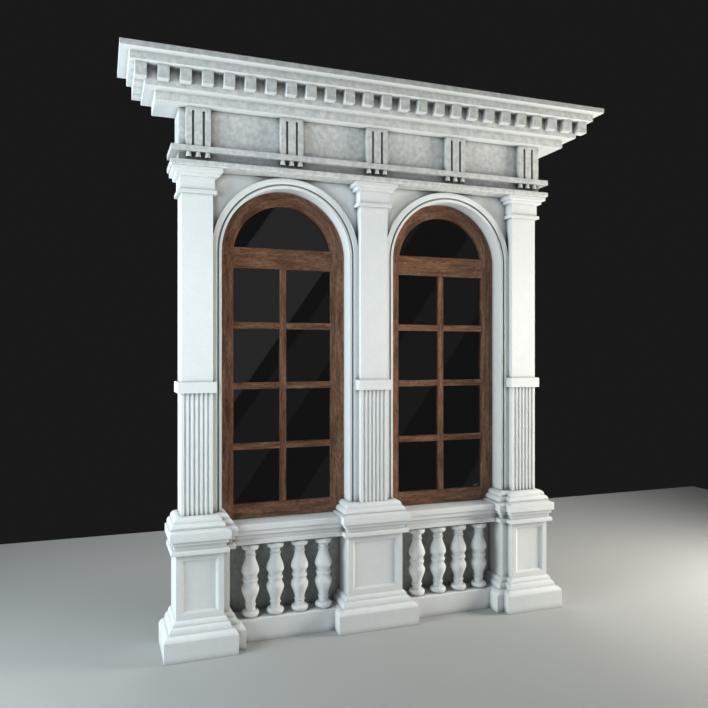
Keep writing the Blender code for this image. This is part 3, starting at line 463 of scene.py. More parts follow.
def moulded(plan, profile):
    """Pull a flat plate up through a profile of (reach, level) points."""
    reach, level = profile[0]
    left, right = span_at(plan, reach)
    front = plan["out"] + reach
    bpy.ops.object.select_all(action="DESELECT")
    middle = ((left + right) / 2, y_of((front + plan["back"]) / 2), level)
    bpy.ops.mesh.primitive_plane_add(size=1, location=middle)
    bpy.context.object.scale = (right - left, front - plan["back"], 1)
    bpy.ops.object.transform_apply(location=True, rotation=True, scale=True)
    bpy.context.tool_settings.mesh_select_mode = (False, False, True)
    bpy.ops.object.mode_set(mode="EDIT")
    bpy.ops.mesh.select_all(action="SELECT")
    for next_reach, next_level in profile[1:]:
        bpy.ops.mesh.extrude_region_move(TRANSFORM_OT_translate={"value": (0, 0, next_level - level)})
        next_left, next_right = span_at(plan, next_reach)
        grow_x = (next_right - next_left) / (right - left)
        grow_y = (plan["out"] + next_reach - plan["back"]) / (front - plan["back"])
        still = (next_left - grow_x * left) / (1 - grow_x) if abs(1 - grow_x) > 1e-9 else 0
        still_point = (still, y_of(plan["back"]), next_level)
        bpy.ops.transform.resize(value=(grow_x, grow_y, 1), center_override=still_point)
        level, left, right, front = next_level, next_left, next_right, plan["out"] + next_reach
    bpy.ops.object.mode_set(mode="OBJECT")
    all_faces_outward()
    ends = {"left_share": plan["left"], "right_share": plan["right"]}
    for axis, place in [(1, y_of(plan["back"]))] + [(0, x) for share, x in ends.items() if not plan[share]]:
        pick_faces(lambda centre, normal: abs(centre[axis] - place) < 0.00001)
        bpy.ops.mesh.dissolve_faces()
    bpy.ops.object.mode_set(mode="OBJECT")
    return bpy.context.object


sample = quarter_round(0.03, 0, 0, 0.03)[:2]
print("a round of", ROUND_STEPS, "steps:", [tuple(round(v, 4) for v in point) for point in sample], "...")

# %% [markdown]
# ## Pedestals
# Each pilaster stands on a pedestal: a plinth, two stepped rounds, a die with a sunk panel, and a cap of
# a fillet, a neck, a step and a slab. The end pedestals stand forward of a wing that receives the
# balustrade. The panel is two insets: one that leaves a flat border and one that sinks and bevels.

# %% Pedestals
DIE_BOTTOM = 0.300
DIE_OUT = 0.309
END_DIE_OUT = 0.387
DIE_WING_HALF = 0.262
END_DIE_INNER = BAY - SHAFT_HALF - 0.074
END_DIE_OUTER = END_FACE + 0.055
SIDE_SPREAD = 1.155
PANEL_MARGIN = 0.046
PANEL_BEVEL = 0.022
PANEL_DEPTH = 0.018
OPENING_HALF = 0.5767
REBATE_OUT = 0.0453
CAP_BOTTOM = SILL_BOTTOM

PEDESTAL_SECTION = [
    (0.103, 0.0), (0.103, 0.165), *quarter_round(0.103, 0.056, 0.165, 0.038),
    (0.056, 0.216), *quarter_round(0.056, 0.027, 0.216, 0.040),
    (0.027, 0.270), *quarter_round(0.027, 0.0, 0.270, 0.030),
    (0.0, CAP_BOTTOM), (0.041, CAP_BOTTOM), (0.041, 0.858), *quarter_round(0.041, 0.016, 0.858, 0.012, 4),
    (0.016, 0.907), (0.033, 0.907), (0.033, 0.939), (0.053, 0.939), (0.053, 1.009), (0.018, PEDESTAL_TOP),
]


def sink_panel(piece, face_out):
    """Inset the die's front face twice: a flat border, then a sunk and bevelled panel."""
    only(piece)
    pick_faces(lambda centre, normal: normal.y < -0.9 and abs(centre.y - y_of(face_out)) < 0.001
               and DIE_BOTTOM < centre.z < CAP_BOTTOM)
    bpy.ops.mesh.inset(thickness=PANEL_MARGIN, depth=0)
    bpy.ops.mesh.inset(thickness=PANEL_BEVEL, depth=-PANEL_DEPTH)
    bpy.ops.object.mode_set(mode="OBJECT")


def window_rebate(bay):
    """The room that a window frame takes behind the stones."""
    x = BAY_CENTRES[bay]
    return block((x - OPENING_HALF, x + OPENING_HALF), (-0.05, REBATE_OUT), (SILL_TOP, ARCHITRAVE_BOTTOM))


def beside(side):
    """The bays beside a pilaster."""
    return [bay for bay, x in BAY_CENTRES.items() if side == 0 or x * side > 0]


def turned(side, left, right):
    """A pair of x values drawn for the right-hand side, turned over for the left-hand one."""
    return (left, right) if side > 0 else (-right, -left)


for name, side in PILASTER_SIDES.items():
    if side == 0:
        plan = plan_of(-DIE_WING_HALF, DIE_WING_HALF, DIE_OUT, SIDE_SPREAD, SIDE_SPREAD)
        parts = [moulded(plan, PEDESTAL_SECTION)]
        sink_panel(parts[0], DIE_OUT)
    else:
        parts = [moulded(plan_of(*turned(side, END_DIE_INNER, END_DIE_OUTER), END_DIE_OUT), PEDESTAL_SECTION)]
        sink_panel(parts[0], END_DIE_OUT)
        shares = (SIDE_SPREAD, 0) if side > 0 else (0, SIDE_SPREAD)
        wing_ends = turned(side, BAY - DIE_WING_HALF, BAY)
        parts.append(moulded(plan_of(*wing_ends, DIE_OUT, *shares, back=BACK_STEP), PEDESTAL_SECTION))
    for part in parts:
        for bay in beside(side):
            cut_away(part, window_rebate(bay))
    pedestal = joined(parts)
    finish_piece(pedestal, f"stone_pedestal_{name}", [f"pedestal_{name}"], WHITE_PAINT)

# %% [markdown]
# ## Pilaster bases
# Two quarter-round toruses, the lower one wider, run round the foot of each pilaster and of the jambs
# beside it. They are the same kind of stack as the pedestals, on a plan of their own. Blocks that overlap
# have their backs half a millimetre apart, because two faces in one plane shade each other black.

# %% Bases
BASE_WING_HALF = 0.200
BASE_WING_OUT = 0.220
BASE_SECTION = [
    (0.093, PEDESTAL_TOP + JOINT), (0.093, 1.038), *quarter_round(0.093, 0.064, 1.038, 0.029),
    (0.064, 1.087), *quarter_round(0.064, 0.018, 1.087, BASE_TOP - 1.087),
]
JAMB_HALF = BAY / 2 - OPENING_HALF

for name, side in PILASTER_SIDES.items():
    axis = side * BAY
    shares = {0: (1, 1), 1: (1, 0), -1: (0, 1)}[side]
    ends = (-BASE_WING_HALF, BASE_WING_HALF) if side == 0 else turned(side, BAY - BASE_WING_HALF, BAY)
    parts = [moulded(plan_of(*ends, BASE_WING_OUT, *shares, back=REBATE_OUT), BASE_SECTION)]
    if side:
        parts.append(moulded(plan_of(*turned(side, BAY - SHAFT_HALF, END_FACE), SHAFT_OUT), BASE_SECTION))
    core_left = axis - (JAMB_HALF if side >= 0 else SHAFT_HALF)
    core_right = axis + (JAMB_HALF if side <= 0 else SHAFT_HALF)
    heights = (PEDESTAL_TOP + JOINT, BASE_TOP)
    parts.append(block((core_left, core_right), (BACK_STEP, SHAFT_OUT / 2), heights))
    if side == 0:
        parts.append(block((-SHAFT_HALF, SHAFT_HALF), (2 * BACK_STEP, SHAFT_OUT), heights))
    base = joined(parts)
    finish_piece(base, f"stone_base_{name}", [f"base_{name}"], WHITE_PAINT)

# %% [markdown]
# ## Pilasters
# The shaft is a squared stone. Six round-bottomed flutes are cut into its lower part with a round tool,
# here a row of cylinders, and they stop under a plain band. The upper shaft is plain up to a ring, a
# neck and a capital of two splayed steps.

# %% Pilasters
FLUTE_COUNT = 6
FLUTE_PITCH = 0.0375
FLUTE_RADIUS = 0.0120
FLUTE_STAND = 0.002
FLUTE_OVERRUN = 0.06
MIDDLE_TRIM_BACK = 0.05
SHAFT_EDGE = 0.0016
BAND_BOTTOM = 2.128
BAND_SECTION = [(0.030, BAND_BOTTOM), (0.030, 2.220)]
CAPITAL_SECTION = [
    (0.030, 3.783), (0.030, 3.813), (0.013, 3.813), (0.013, 3.920), (0.045, 3.927), (0.045, 3.952),
    (0.0735, 3.959), (0.0735, ARCHITRAVE_BOTTOM - JOINT),
]


def flute_tools(axis):
    """Six cylinders on the face of a shaft, from its foot to the band."""
    tools = []
    length = BAND_BOTTOM - BASE_TOP + FLUTE_OVERRUN
    for index in range(FLUTE_COUNT):
        x = axis + FLUTE_PITCH * (index - (FLUTE_COUNT - 1) / 2)
        middle = (x, y_of(SHAFT_OUT + FLUTE_STAND), BAND_BOTTOM - length / 2)
        bpy.ops.object.select_all(action="DESELECT")
        bpy.ops.mesh.primitive_cylinder_add(vertices=24, radius=FLUTE_RADIUS, depth=length, location=middle)
        bpy.ops.object.transform_apply(location=True, rotation=True, scale=True)
        tools.append(bpy.context.object)
    return joined(tools)


for name, side in PILASTER_SIDES.items():
    axis = side * BAY
    ends = (axis - SHAFT_HALF, axis + SHAFT_HALF)
    shaft = block(ends, (0, SHAFT_OUT), (BASE_TOP + JOINT, ARCHITRAVE_BOTTOM - JOINT))
    cut_away(shaft, flute_tools(axis))
    back = MIDDLE_TRIM_BACK if side == 0 else BACK_STEP
    band = moulded(plan_of(*ends, SHAFT_OUT, back=back), BAND_SECTION)
    capital = moulded(plan_of(*ends, SHAFT_OUT, back=back), CAPITAL_SECTION)
    pilaster = joined([shaft, band, capital])
    finish_piece(pilaster, f"stone_pilaster_{name}", [f"pilaster_{name}"], WHITE_PAINT,
                 SHAFT_EDGE)

# %% [markdown]
# ## Arched surrounds
# A jamb and its arch are one section: an inner band, a groove and an outer band. The section is cut from
# a flat plate, spun half a turn about the arch's centre and pulled down to the base at both ends. The
# plain spandrel wall behind it is a block with a half round cut out.

# %% Arches
INNER_BAND_OUT = 0.205
GROOVE_OUT = 0.190
OUTER_BAND_OUT = 0.211
SPANDREL_OUT = 0.165
GROOVE_INNER = OPENING_HALF + 0.023
GROOVE_OUTER = GROOVE_INNER + 0.016
ARCH_RADIUS = GROOVE_OUTER + 0.050
ARCH_HALF = BAY / 2 - SHAFT_HALF - JOINT
SPRING = ARCHITRAVE_BOTTOM - 0.003 - ARCH_RADIUS
SPLAY = 0.002
ARCH_STEPS = 56
HAIR = 0.0002
CARVED_EDGE = 0.0018


def bisect_at_x(*places):
    """Add a cut through the whole mesh at each of these x values."""
    for x in places:
        bpy.ops.mesh.select_all(action="SELECT")
        bpy.ops.mesh.bisect(plane_co=(x, 0, 0), plane_no=(1, 0, 0))


def push_front(x_range, from_out, to_out):
    """Move the front vertices between two x values to another plane."""
    pick_vertices(lambda co: x_range[0] <= co.x <= x_range[1] and abs(co.y - y_of(from_out)) < 0.0001)
    bpy.ops.transform.translate(value=(0, y_of(to_out) - y_of(from_out), 0))


def spun_arch(centre_x, inner, outer, section_cuts, out_range, bottom):
    """Spin a plate's section over an arch and pull both of its ends down to a level."""
    bpy.ops.object.select_all(action="DESELECT")
    middle = (centre_x - (inner + outer) / 2, y_of(sum(out_range) / 2), SPRING)
    bpy.ops.mesh.primitive_plane_add(size=1, location=middle)
    bpy.context.object.scale = (outer - inner, out_range[1] - out_range[0], 1)
    bpy.ops.object.transform_apply(location=True, rotation=True, scale=True)
    bpy.ops.object.mode_set(mode="EDIT")
    section_cuts(centre_x)
    bpy.ops.mesh.select_all(action="SELECT")
    bpy.ops.mesh.spin(steps=ARCH_STEPS, angle=math.pi, center=(centre_x, 0, SPRING), axis=(0, -1, 0))
    for side in (-1, 1):
        pick_faces(lambda centre, normal: abs(centre.z - SPRING) < 0.0001 and (centre.x - centre_x) * side > 0
                   and abs(normal.z) > 0.9)
        bpy.ops.mesh.extrude_region_move(TRANSFORM_OT_translate={"value": (0, 0, bottom - SPRING)})
    bpy.ops.object.mode_set(mode="OBJECT")
    all_faces_outward()
    return bpy.context.object


def surround_section(centre_x):
    """Cut the inner band, the groove and the outer band into the plate's front edge."""
    radii = (GROOVE_INNER, GROOVE_INNER + SPLAY, GROOVE_OUTER - SPLAY, GROOVE_OUTER)
    inner_lip, inner_foot, outer_foot, outer_lip = (centre_x - radius for radius in radii)
    bisect_at_x(inner_lip, inner_foot, outer_foot, outer_lip)
    push_front((inner_lip - HAIR, centre_x), OUTER_BAND_OUT, INNER_BAND_OUT)
    push_front((outer_foot - HAIR, inner_foot + HAIR), OUTER_BAND_OUT, GROOVE_OUT)


for bay, centre_x in BAY_CENTRES.items():
    moulding = spun_arch(centre_x, OPENING_HALF, ARCH_RADIUS, surround_section, (0, OUTER_BAND_OUT),
                         BASE_TOP + JOINT)
    only(moulding)
    bpy.ops.object.mode_set(mode="EDIT")
    for side in (-1, 1):
        bpy.ops.mesh.select_all(action="SELECT")
        bpy.ops.mesh.bisect(plane_co=(centre_x + side * ARCH_HALF, 0, 0), plane_no=(side, 0, 0),
                            use_fill=True, clear_outer=True)
    bpy.ops.object.mode_set(mode="OBJECT")
    spandrel = block((centre_x - ARCH_HALF, centre_x + ARCH_HALF), (2 * BACK_STEP, SPANDREL_OUT),
                     (SPRING, ARCHITRAVE_BOTTOM - JOINT))
    bpy.ops.object.select_all(action="DESELECT")
    bpy.ops.mesh.primitive_cylinder_add(vertices=96, radius=GROOVE_OUTER, depth=1,
                                        location=(centre_x, BACK, SPRING), rotation=(math.pi / 2, 0, 0))
    bpy.ops.object.transform_apply(location=True, rotation=True, scale=True)
    cut_away(spandrel, bpy.context.object)
    arch = joined([moulding, spandrel])
    finish_piece(arch, f"stone_arch_{bay}", [f"arch_{bay}"], WHITE_PAINT, CARVED_EDGE)

# %% [markdown]
# ## Architrave and guttae
# The architrave is one long moulding: a band, a recessed field and the taenia above it. The field lies in
# shade under the taenia, and its face gets a darker paint as painted shade. Under the taenia, below each
# triglyph, hang three small cones, the guttae. One is modelled and copied fifteen times.

# %% Architrave
ARCHITRAVE_SECTION = [
    (0.0805, ARCHITRAVE_BOTTOM), (0.091, 4.000), (0.091, 4.038), (0.025, 4.038), (0.025, 4.110),
    (0.090, 4.110), (0.090, FRIEZE_BOTTOM - JOINT),
]
TAENIA_BOTTOM = 4.110
FIELD = (4.045, 4.105)
GUTTA_HEIGHT = 0.043
GUTTA_ROOT = 0.012
GUTTA_PITCH = 0.077
GUTTA_EDGE = 0.0012
GUTTA_OUT = (FRIEZE_OUT + SHAFT_OUT + 0.090) / 2
TRIGLYPH_AXES = [BAY / 2 * index for index in range(-2, 3)]

band = moulded(plan_of(-END_FACE, END_FACE, SHAFT_OUT), ARCHITRAVE_SECTION)
architrave = finish_piece(band, "stone_architrave", ["architrave"], GREY_PAINT)
# The field's face is painted darker: painted shade under the taenia.
repaint(architrave, FIELD_SHADE_PAINT, lambda centre, normal: FIELD[0] < centre.z < FIELD[1] and normal.y < -0.9)


def copied(model, name, shift):
    """A copy of an object with its own mesh, moved by a shift that is kept in the mesh."""
    twin = model.copy()
    twin.data = model.data.copy()
    twin.name = name
    bpy.context.scene.collection.objects.link(twin)
    only(twin)
    bpy.ops.object.mode_set(mode="EDIT")
    bpy.ops.mesh.select_all(action="SELECT")
    bpy.ops.transform.translate(value=shift)
    bpy.ops.object.mode_set(mode="OBJECT")
    return twin


def modelled_gutta():
    """One gutta under the first triglyph's middle: a cone with a rolled foot, rooted in the taenia."""
    bpy.ops.object.select_all(action="DESELECT")
    depth = GUTTA_HEIGHT + GUTTA_ROOT
    centre = (0, y_of(GUTTA_OUT), TAENIA_BOTTOM - GUTTA_HEIGHT + depth / 2)
    bpy.ops.mesh.primitive_cone_add(vertices=28, radius1=0.024, radius2=0.016, depth=depth, location=centre)
    bpy.ops.object.transform_apply(location=True, rotation=True, scale=True)
    pick_faces(lambda middle, normal: normal.z < -0.9)
    bpy.ops.mesh.inset(thickness=0.004, depth=0)
    bpy.ops.mesh.inset(thickness=0.006, depth=-0.003)
    bpy.ops.object.mode_set(mode="OBJECT")
    return bpy.context.object


gutta = modelled_gutta()
guttae = [copied(gutta, "gutta", (axis + place * GUTTA_PITCH, 0, 0))
          for axis in TRIGLYPH_AXES for place in (-1, 0, 1)]
bpy.data.objects.remove(gutta, do_unlink=True)
finish_piece(joined(guttae), "guttae", ["architrave"], GREY_PAINT, GUTTA_EDGE)

# %% [markdown]
# ## Frieze and triglyphs
# The frieze is a plain wall of stone whose paint has gone greyer and blotchy. Five triglyphs stand on it,
# each a block with two channels that stop short of its head. The channels are faces pushed in, with
# walls that lean a little, as a chisel leaves them.

# %% Frieze
TRIGLYPH_HALF = 0.100
TRIGLYPH_THICKNESS = 0.055
CHANNEL_SPACING = 0.086
CHANNEL_HALF = 0.0105
CHANNEL_DEPTH = 0.022
HEAD_HEIGHT = 0.030
FRIEZE_EDGE = 0.003
FRIEZE_TOP = CORNICE_BOTTOM - JOINT

frieze_stone = block((-FRIEZE_END, FRIEZE_END), (0, FRIEZE_OUT), (FRIEZE_BOTTOM, FRIEZE_TOP))
finish_piece(frieze_stone, "stone_frieze", ["frieze"], GREY_PAINT, FRIEZE_EDGE)


def modelled_triglyph():
    """One triglyph on the middle axis, with its two channels pushed in."""
    face_out = FRIEZE_OUT + TRIGLYPH_THICKNESS
    stone = block((-TRIGLYPH_HALF, TRIGLYPH_HALF), (FRIEZE_OUT - 0.02, face_out), (FRIEZE_BOTTOM, FRIEZE_TOP))
    only(stone)
    bpy.ops.object.mode_set(mode="EDIT")
    edges = [side * CHANNEL_SPACING / 2 + edge * CHANNEL_HALF for side in (-1, 1) for edge in (-1, 1)]
    bisect_at_x(*edges)
    bpy.ops.mesh.select_all(action="SELECT")
    bpy.ops.mesh.bisect(plane_co=(0, 0, FRIEZE_TOP - HEAD_HEIGHT), plane_no=(0, 0, 1))
    for side in (-1, 1):
        axis = side * CHANNEL_SPACING / 2
        pick_faces(lambda centre, normal: normal.y < -0.9 and abs(centre.x - axis) < CHANNEL_HALF
                   and centre.z < FRIEZE_TOP - HEAD_HEIGHT)
        bpy.ops.mesh.extrude_region_move(TRANSFORM_OT_translate={"value": (0, CHANNEL_DEPTH, 0)})
        bpy.ops.transform.resize(value=(0.65, 1, 1), center_override=(axis, 0, 0))
    bpy.ops.object.mode_set(mode="OBJECT")
    return stone


triglyph = modelled_triglyph()
triglyphs = [copied(triglyph, "triglyph", (axis, 0, 0)) for axis in TRIGLYPH_AXES]
bpy.data.objects.remove(triglyph, do_unlink=True)
finish_piece(joined(triglyphs), "triglyphs", ["frieze"], GREY_PAINT, CARVED_EDGE)

# %% [markdown]
# ## Cornice and dentils
# The cornice steps outwards: a bed block, a dentil band, the corona and the top member. Twenty-five
# dentils run along the front and three more along each return, all copies of one bevelled tooth. Its
# fronts take the greyed paint, and the undersides and the returns a whiter one: a painted highlight where
# they catch the light.

# %% Cornice
CORNICE_SECTION = [
    (0.120, CORNICE_BOTTOM), (0.120, 4.551), (0.207, 4.551), (0.207, 4.696), (0.323, 4.696), (0.323, 4.760),
    (0.395, 4.760), (0.395, 4.806),
]
CORONA_BOTTOM = 4.696
DENTIL_REACH = 0.281
DENTIL_WIDTH = 0.087
DENTIL_HEIGHT = 0.108
DENTIL_COUNT = 25
RETURN_DENTILS = 3
DENTIL_EDGE = 0.0025
CORNICE_EDGE = 0.0035

crown = moulded(plan_of(-CORNICE_END, CORNICE_END, FRIEZE_OUT), CORNICE_SECTION)
cornice = finish_piece(crown, "stone_cornice", ["cornice"], GREY_PAINT, CORNICE_EDGE)
# Undersides and returns are painted whiter than the fronts: a painted highlight where they catch the light.
repaint(cornice, WHITE_PAINT, lambda centre, normal: abs(normal.x) > 0.5 or normal.z < -0.5)

dentil_end = CORNICE_END + DENTIL_REACH
dentil_face = FRIEZE_OUT + DENTIL_REACH
tooth = block((-dentil_end, DENTIL_WIDTH - dentil_end), (dentil_face - DENTIL_WIDTH, dentil_face),
              (CORONA_BOTTOM - DENTIL_HEIGHT, CORONA_BOTTOM + 0.016))
front_pitch = (2 * dentil_end - DENTIL_WIDTH) / (DENTIL_COUNT - 1)
return_pitch = (dentil_face - DENTIL_WIDTH - BACK_STEP) / RETURN_DENTILS
teeth = [copied(tooth, "dentil", (front_pitch * index, 0, 0)) for index in range(DENTIL_COUNT)]
for index in range(1, RETURN_DENTILS + 1):
    for across in (0, 2 * dentil_end - DENTIL_WIDTH):
        teeth.append(copied(tooth, "dentil", (across, return_pitch * index, 0)))
bpy.data.objects.remove(tooth, do_unlink=True)
dentils = finish_piece(joined(teeth), "dentils", ["cornice"], GREY_PAINT, DENTIL_EDGE)
# The dentils' sides and undersides are painted whiter too: a painted highlight.
repaint(dentils, WHITE_PAINT, lambda centre, normal: abs(normal.x) > 0.5 or normal.z < -0.3)

# %% [markdown]
# ## Balustrade rails and sill
# Between the pedestals run a bottom rail and a moulded sill that repeats the pedestal cap. Both are the
# same stack as before, but their ends don't return: they run on to the faces of the dies.

# %% Rails and sills
RAIL_OUT = 0.275
BALUSTRADE_HALF = 0.528
SILL_EDGE = 0.0025
RAIL_SECTION = [(0, 0), (0, RAIL_TOP - 0.010), *quarter_round(0, -0.010, RAIL_TOP - 0.010, 0.010, 4)]
SILL_SECTION = [
    (-0.006, SILL_BOTTOM), (-0.006, 0.858), *quarter_round(-0.006, -0.026, 0.858, 0.012, 4), (-0.026, 0.907),
    (-0.012, 0.907), (-0.012, 0.948), (0.0, 0.948), (0.0, SILL_TOP),
]

for bay, centre_x in BAY_CENTRES.items():
    run = plan_of(centre_x - BALUSTRADE_HALF, centre_x + BALUSTRADE_HALF, RAIL_OUT, 0, 0, back=2 * BACK_STEP)
    rail = moulded(run, RAIL_SECTION)
    finish_piece(rail, f"stone_rail_{bay}", [f"bottom_rail_{bay}"], WHITE_PAINT)
    sill = moulded(run, SILL_SECTION)
    finish_piece(sill, f"stone_sill_{bay}", [f"sill_{bay}"], WHITE_PAINT, SILL_EDGE)
    # The apron keeps its CAD shape and takes the dark paint as painted shade.
    reface(f"apron_{bay}", APRON_SHADE_PAINT)

# %% [markdown]
# ## Balusters
# A baluster is turned: two bellies back to back about a middle ring, a collar near each end and a round
# foot. On a lathe a profile turns about an axis, and so here: one vertex is pulled along the profile,
# the line is spun a full turn, and the eight balusters are copies of it.

# %% Balusters
BALUSTER_OUT = 0.194
BALUSTER_PITCH = 0.2195
BALUSTER_COUNT = 4
BALUSTER_SIDES = 40
RING_RADIUS = 0.0675
WAIST = (0.058, 0.027)
BELLY = (0.0765, 0.075)
NECK = (0.042, 0.202)
COLLAR = (0.050, 0.211)
FOOT_RADIUS = 0.0745
FOOT_HEIGHT = 0.058


def eased(start, end, steps):
    """Points from one (radius, height) to another that start and finish upright."""
    return [(start[0] + (end[0] - start[0]) * (1 - math.cos(math.pi * step / steps)) / 2,
             start[1] + (end[1] - start[1]) * step / steps) for step in range(1, steps + 1)]


def bead(centre_z, radius, bulge, half_height, steps=6):
    """A half-round bead that swells from a radius by its bulge, as (radius, height)."""
    angles = [-math.pi / 2 + math.pi * step / steps for step in range(steps + 1)]
    return [(radius + bulge * math.cos(a), centre_z + half_height * math.sin(a)) for a in angles]


def half_profile():
    """Half of a baluster from its middle to its foot, as (radius, distance from the middle)."""
    half = (SILL_BOTTOM - RAIL_TOP) / 2 - JOINT
    foot = half - FOOT_HEIGHT
    ring = [(WAIST[0] + (RING_RADIUS - WAIST[0]) * math.cos(a), 0.018 * math.sin(a))
            for a in (0, math.pi / 8, math.pi / 4, 3 * math.pi / 8, math.pi / 2)]
    return [
        *ring, WAIST, *eased(WAIST, BELLY, 8), *eased(BELLY, NECK, 12),
        *bead(COLLAR[1] + 0.003, NECK[0], COLLAR[0] - NECK[0], 0.007),
        (NECK[0], foot - 0.006), (NECK[0] + 0.004, foot - 0.001),
        *bead(foot + 0.027, FOOT_RADIUS - 0.014, 0.014, 0.024, 8),
        (FOOT_RADIUS - 0.010, half),
    ]


def turned_baluster(x, y, middle_z):
    """Pull one vertex along the profile and spin the line a full turn."""
    lower = half_profile()
    outline = [*[(r, -h) for r, h in reversed(lower)], *lower[1:]]
    bpy.ops.object.select_all(action="DESELECT")
    bpy.ops.mesh.primitive_plane_add(size=0.01, location=(x, y, middle_z + outline[0][1]))
    bpy.ops.object.transform_apply(location=True, rotation=True, scale=True)
    bpy.context.tool_settings.mesh_select_mode = (True, False, False)
    bpy.ops.object.mode_set(mode="EDIT")
    bpy.ops.mesh.select_all(action="SELECT")
    bpy.ops.mesh.merge(type="CENTER")
    place = (0.0, outline[0][1])
    for radius, height in [*outline, (0.0, outline[-1][1])]:
        step = (radius - place[0], 0, height - place[1])
        bpy.ops.mesh.extrude_region_move(TRANSFORM_OT_translate={"value": step})
        place = (radius, height)
    bpy.ops.mesh.select_all(action="SELECT")
    bpy.ops.mesh.spin(steps=BALUSTER_SIDES, angle=2 * math.pi, center=(x, y, middle_z), axis=(0, 0, 1))
    bpy.ops.object.mode_set(mode="OBJECT")
    all_faces_outward()
    return bpy.context.object


def baluster_x(bay, index):
    """Axis of a baluster, counted from the left of its bay."""
    return BAY_CENTRES[bay] + BALUSTER_PITCH * (index - (BALUSTER_COUNT - 1) / 2)


baluster = turned_baluster(baluster_x("left", 0), y_of(BALUSTER_OUT), (SILL_BOTTOM + RAIL_TOP) / 2)
for bay in BAY_CENTRES:
    for index in range(BALUSTER_COUNT):
        shift = (baluster_x(bay, index) - baluster_x("left", 0), 0, 0)
        node = f"baluster_{bay}_{index + 1}"
        finish_piece(copied(baluster, node, shift), f"turned_{node}", [node], WHITE_PAINT, 0)
bpy.data.objects.remove(baluster, do_unlink=True)

# %% [markdown]
# ## Timber
# The frames are brown hardwood, oiled rather than painted. Grain runs along each member, so upright,
# level and curved members need three directions of one pattern: noise that is stretched ninefold along
# the grain. The curved head takes its direction from the angle about the arch's centre.

# %% Timber materials
GRAIN_STRETCH = 9.0
GRAIN_WIDTH = 0.011
TIMBER_DARK = (0.098, 0.042, 0.023)
TIMBER_MID = (0.204, 0.098, 0.055)
TIMBER_LIGHT = (0.293, 0.155, 0.090)


def grain_coordinates(made, direction, centre_x):
    """Coordinates in which the grain is short across the member and long along it."""
    place = add_node(made, "ShaderNodeTexCoord")
    mapping = add_node(made, "ShaderNodeMapping")
    if direction == "curved":
        centred = add_node(made, "ShaderNodeMapping", Location=(-centre_x, 0, -SPRING))
        join(made, place, "Object", centred, "Vector")
        split = add_node(made, "ShaderNodeSeparateXYZ")
        join(made, centred, "Vector", split, "Vector")
        angle = add_node(made, "ShaderNodeMath", operation="ARCTAN2")
        join(made, split, "Z", angle, 0)
        join(made, split, "X", angle, 1)
        along = add_node(made, "ShaderNodeMath", operation="MULTIPLY")
        along.inputs[1].default_value = OPENING_HALF
        join(made, angle, "Value", along, 0)
        flat = add_node(made, "ShaderNodeCombineXYZ")
        join(made, split, "X", flat, "X")
        join(made, split, "Z", flat, "Z")
        radius = add_node(made, "ShaderNodeVectorMath", operation="LENGTH")
        join(made, flat, "Vector", radius, 0)
        rolled = add_node(made, "ShaderNodeCombineXYZ")
        join(made, radius, "Value", rolled, "X")
        join(made, split, "Y", rolled, "Y")
        join(made, along, "Value", rolled, "Z")
        join(made, rolled, "Vector", mapping, "Vector")
    else:
        join(made, place, "Object", mapping, "Vector")
    short, long = 1.0, 1.0 / GRAIN_STRETCH
    level_scale, upright_scale = (long, short, short), (short, short, long)
    mapping.inputs["Scale"].default_value = level_scale if direction == "level" else upright_scale
    return mapping


def timber(name, direction, centre_x=0.0):
    """Brown timber with its grain along one direction: broad figure, fine streaks and dark pores."""
    made = bpy.data.materials.new(name)
    made.use_nodes = True
    shader = made.node_tree.nodes["Principled BSDF"]
    place = grain_coordinates(made, direction, centre_x)
    figure = noise(made, place, GRAIN_WIDTH * 3, 3.0)
    streaks = noise(made, place, GRAIN_WIDTH / 2, 5.0, 0.65)
    body = ramp(made, figure, "Fac", ((0.32, TIMBER_DARK), (0.52, TIMBER_MID), (0.72, TIMBER_LIGHT)))
    lines = ramp(made, streaks, "Fac", ((0.40, (0.24, 0.20, 0.18)), (0.52, (1.0, 1.0, 1.0))))
    colour = mixed(made, "MULTIPLY", 0.9, (body, "Color"), (lines, "Color"))
    made.node_tree.links.new(colour_out(colour), shader.inputs["Base Color"])
    sheen = add_node(made, "ShaderNodeMapRange")
    sheen.inputs["To Min"].default_value = 0.62
    sheen.inputs["To Max"].default_value = 0.42
    join(made, streaks, "Fac", sheen, "Value")
    join(made, sheen, "Result", shader, "Roughness")
    relief = add_node(made, "ShaderNodeBump", Strength=0.5, Distance=0.0012)
    join(made, streaks, "Fac", relief, "Height")
    join(made, relief, "Normal", shader, "Normal")
    return made


UPRIGHT_TIMBER = timber("upright timber", "upright")
LEVEL_TIMBER = timber("level timber", "level")
HEAD_TIMBER = {bay: timber(f"curved timber {bay}", "curved", x) for bay, x in BAY_CENTRES.items()}
print("timber finishes:", 2 + len(HEAD_TIMBER))

# %% [markdown]
# ## Window frames
# A joiner makes the window from straight stiles and rails, slender glazing bars and a curved head that
# starts at the springing. Each member is its own piece of timber with its edges taken off. The curved
# head is spun over the arch, as the stone is.

# %% Window frames
TIMBER_BACK = 0.004
TIMBER_FRONT = 0.045
BAR_OUTS = (0.008, 0.041)
STILE_WIDTH = 0.1265
FRAME_HALF = OPENING_HALF - JOINT
DAYLIGHT_HALF = FRAME_HALF - STILE_WIDTH
RAIL_HEIGHT = 0.132
TRANSOM = (SPRING - 0.1145, SPRING - 0.1145 + 0.1825)
BAR_HALF = 0.029
PANE_ROWS = 4
TIMBER_EDGE = 0.003
DAYLIGHT_BOTTOM = SILL_TOP + RAIL_HEIGHT
PANE_STEP = (TRANSOM[0] - DAYLIGHT_BOTTOM + 2 * BAR_HALF) / PANE_ROWS


def no_section(centre_x):
    """The curved head is a plain rectangle in section."""


def members(ranges):
    """Pieces of timber, one for each (x range, out range, z range), joined into one object."""
    return joined([block(*sizes) for sizes in ranges])


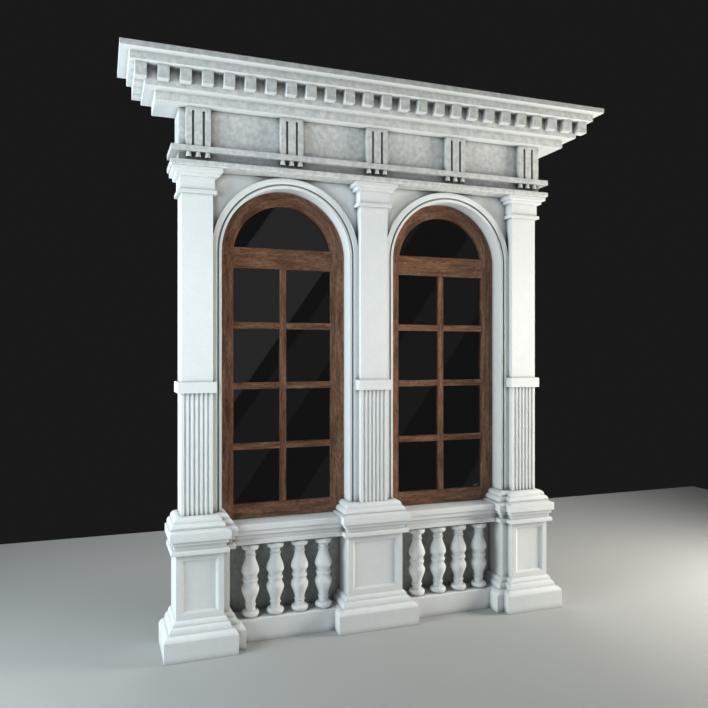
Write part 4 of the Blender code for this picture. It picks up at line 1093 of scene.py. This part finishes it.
for bay, x in BAY_CENTRES.items():
    outs = (TIMBER_BACK, TIMBER_FRONT)
    foot = SILL_TOP + JOINT
    uprights = members([
        ((x - FRAME_HALF, x - DAYLIGHT_HALF), outs, (foot, SPRING)),
        ((x + DAYLIGHT_HALF, x + FRAME_HALF), outs, (foot, SPRING)),
        ((x - BAR_HALF, x + BAR_HALF), BAR_OUTS, (DAYLIGHT_BOTTOM - 0.01, TRANSOM[0] + 0.01)),
    ])
    finish_piece(uprights, f"timber_uprights_{bay}", [f"window_frame_{bay}"], UPRIGHT_TIMBER,
                 TIMBER_EDGE)
    rails = [
        ((x - DAYLIGHT_HALF, x + DAYLIGHT_HALF), outs, (foot, DAYLIGHT_BOTTOM)),
        ((x - DAYLIGHT_HALF, x + DAYLIGHT_HALF), outs, TRANSOM),
    ]
    for row in range(1, PANE_ROWS):
        level = DAYLIGHT_BOTTOM + row * PANE_STEP - BAR_HALF
        for ends in ((x - DAYLIGHT_HALF, x - BAR_HALF), (x + BAR_HALF, x + DAYLIGHT_HALF)):
            rails.append((ends, BAR_OUTS, (level - BAR_HALF, level + BAR_HALF)))
    finish_piece(members(rails), f"timber_rails_{bay}", [f"window_frame_{bay}"], LEVEL_TIMBER,
                 TIMBER_EDGE)
    head = spun_arch(x, DAYLIGHT_HALF, FRAME_HALF, no_section, outs, SPRING + 0.0002)
    finish_piece(head, f"timber_head_{bay}", [f"window_frame_{bay}"], HEAD_TIMBER[bay],
                 TIMBER_EDGE)

# %% [markdown]
# ## Glass
# The panes are clear glass and keep their CAD shape, which is right. The shader is plain: full
# transmission, almost no roughness, and a neutral tint a little darker than new glass has, because the
# panes of the photograph look dark.

# %% Glass
GLASS = bpy.data.materials.new("window glass")
GLASS.use_nodes = True
glass_shader = GLASS.node_tree.nodes["Principled BSDF"]
# The tint darker than new glass is partly painted shade: it stands in for the dark room behind the panes.
glass_shader.inputs["Base Color"].default_value = (0.60, 0.62, 0.62, 1)
glass_shader.inputs["Roughness"].default_value = 0.02
glass_shader.inputs["Transmission Weight"].default_value = 1.0
glass_shader.inputs["IOR"].default_value = 1.45

panes = [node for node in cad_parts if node.startswith(("pane_", "lunette_"))]
for node in panes:
    reface(node, GLASS)
print(len(panes), "panes glazed")
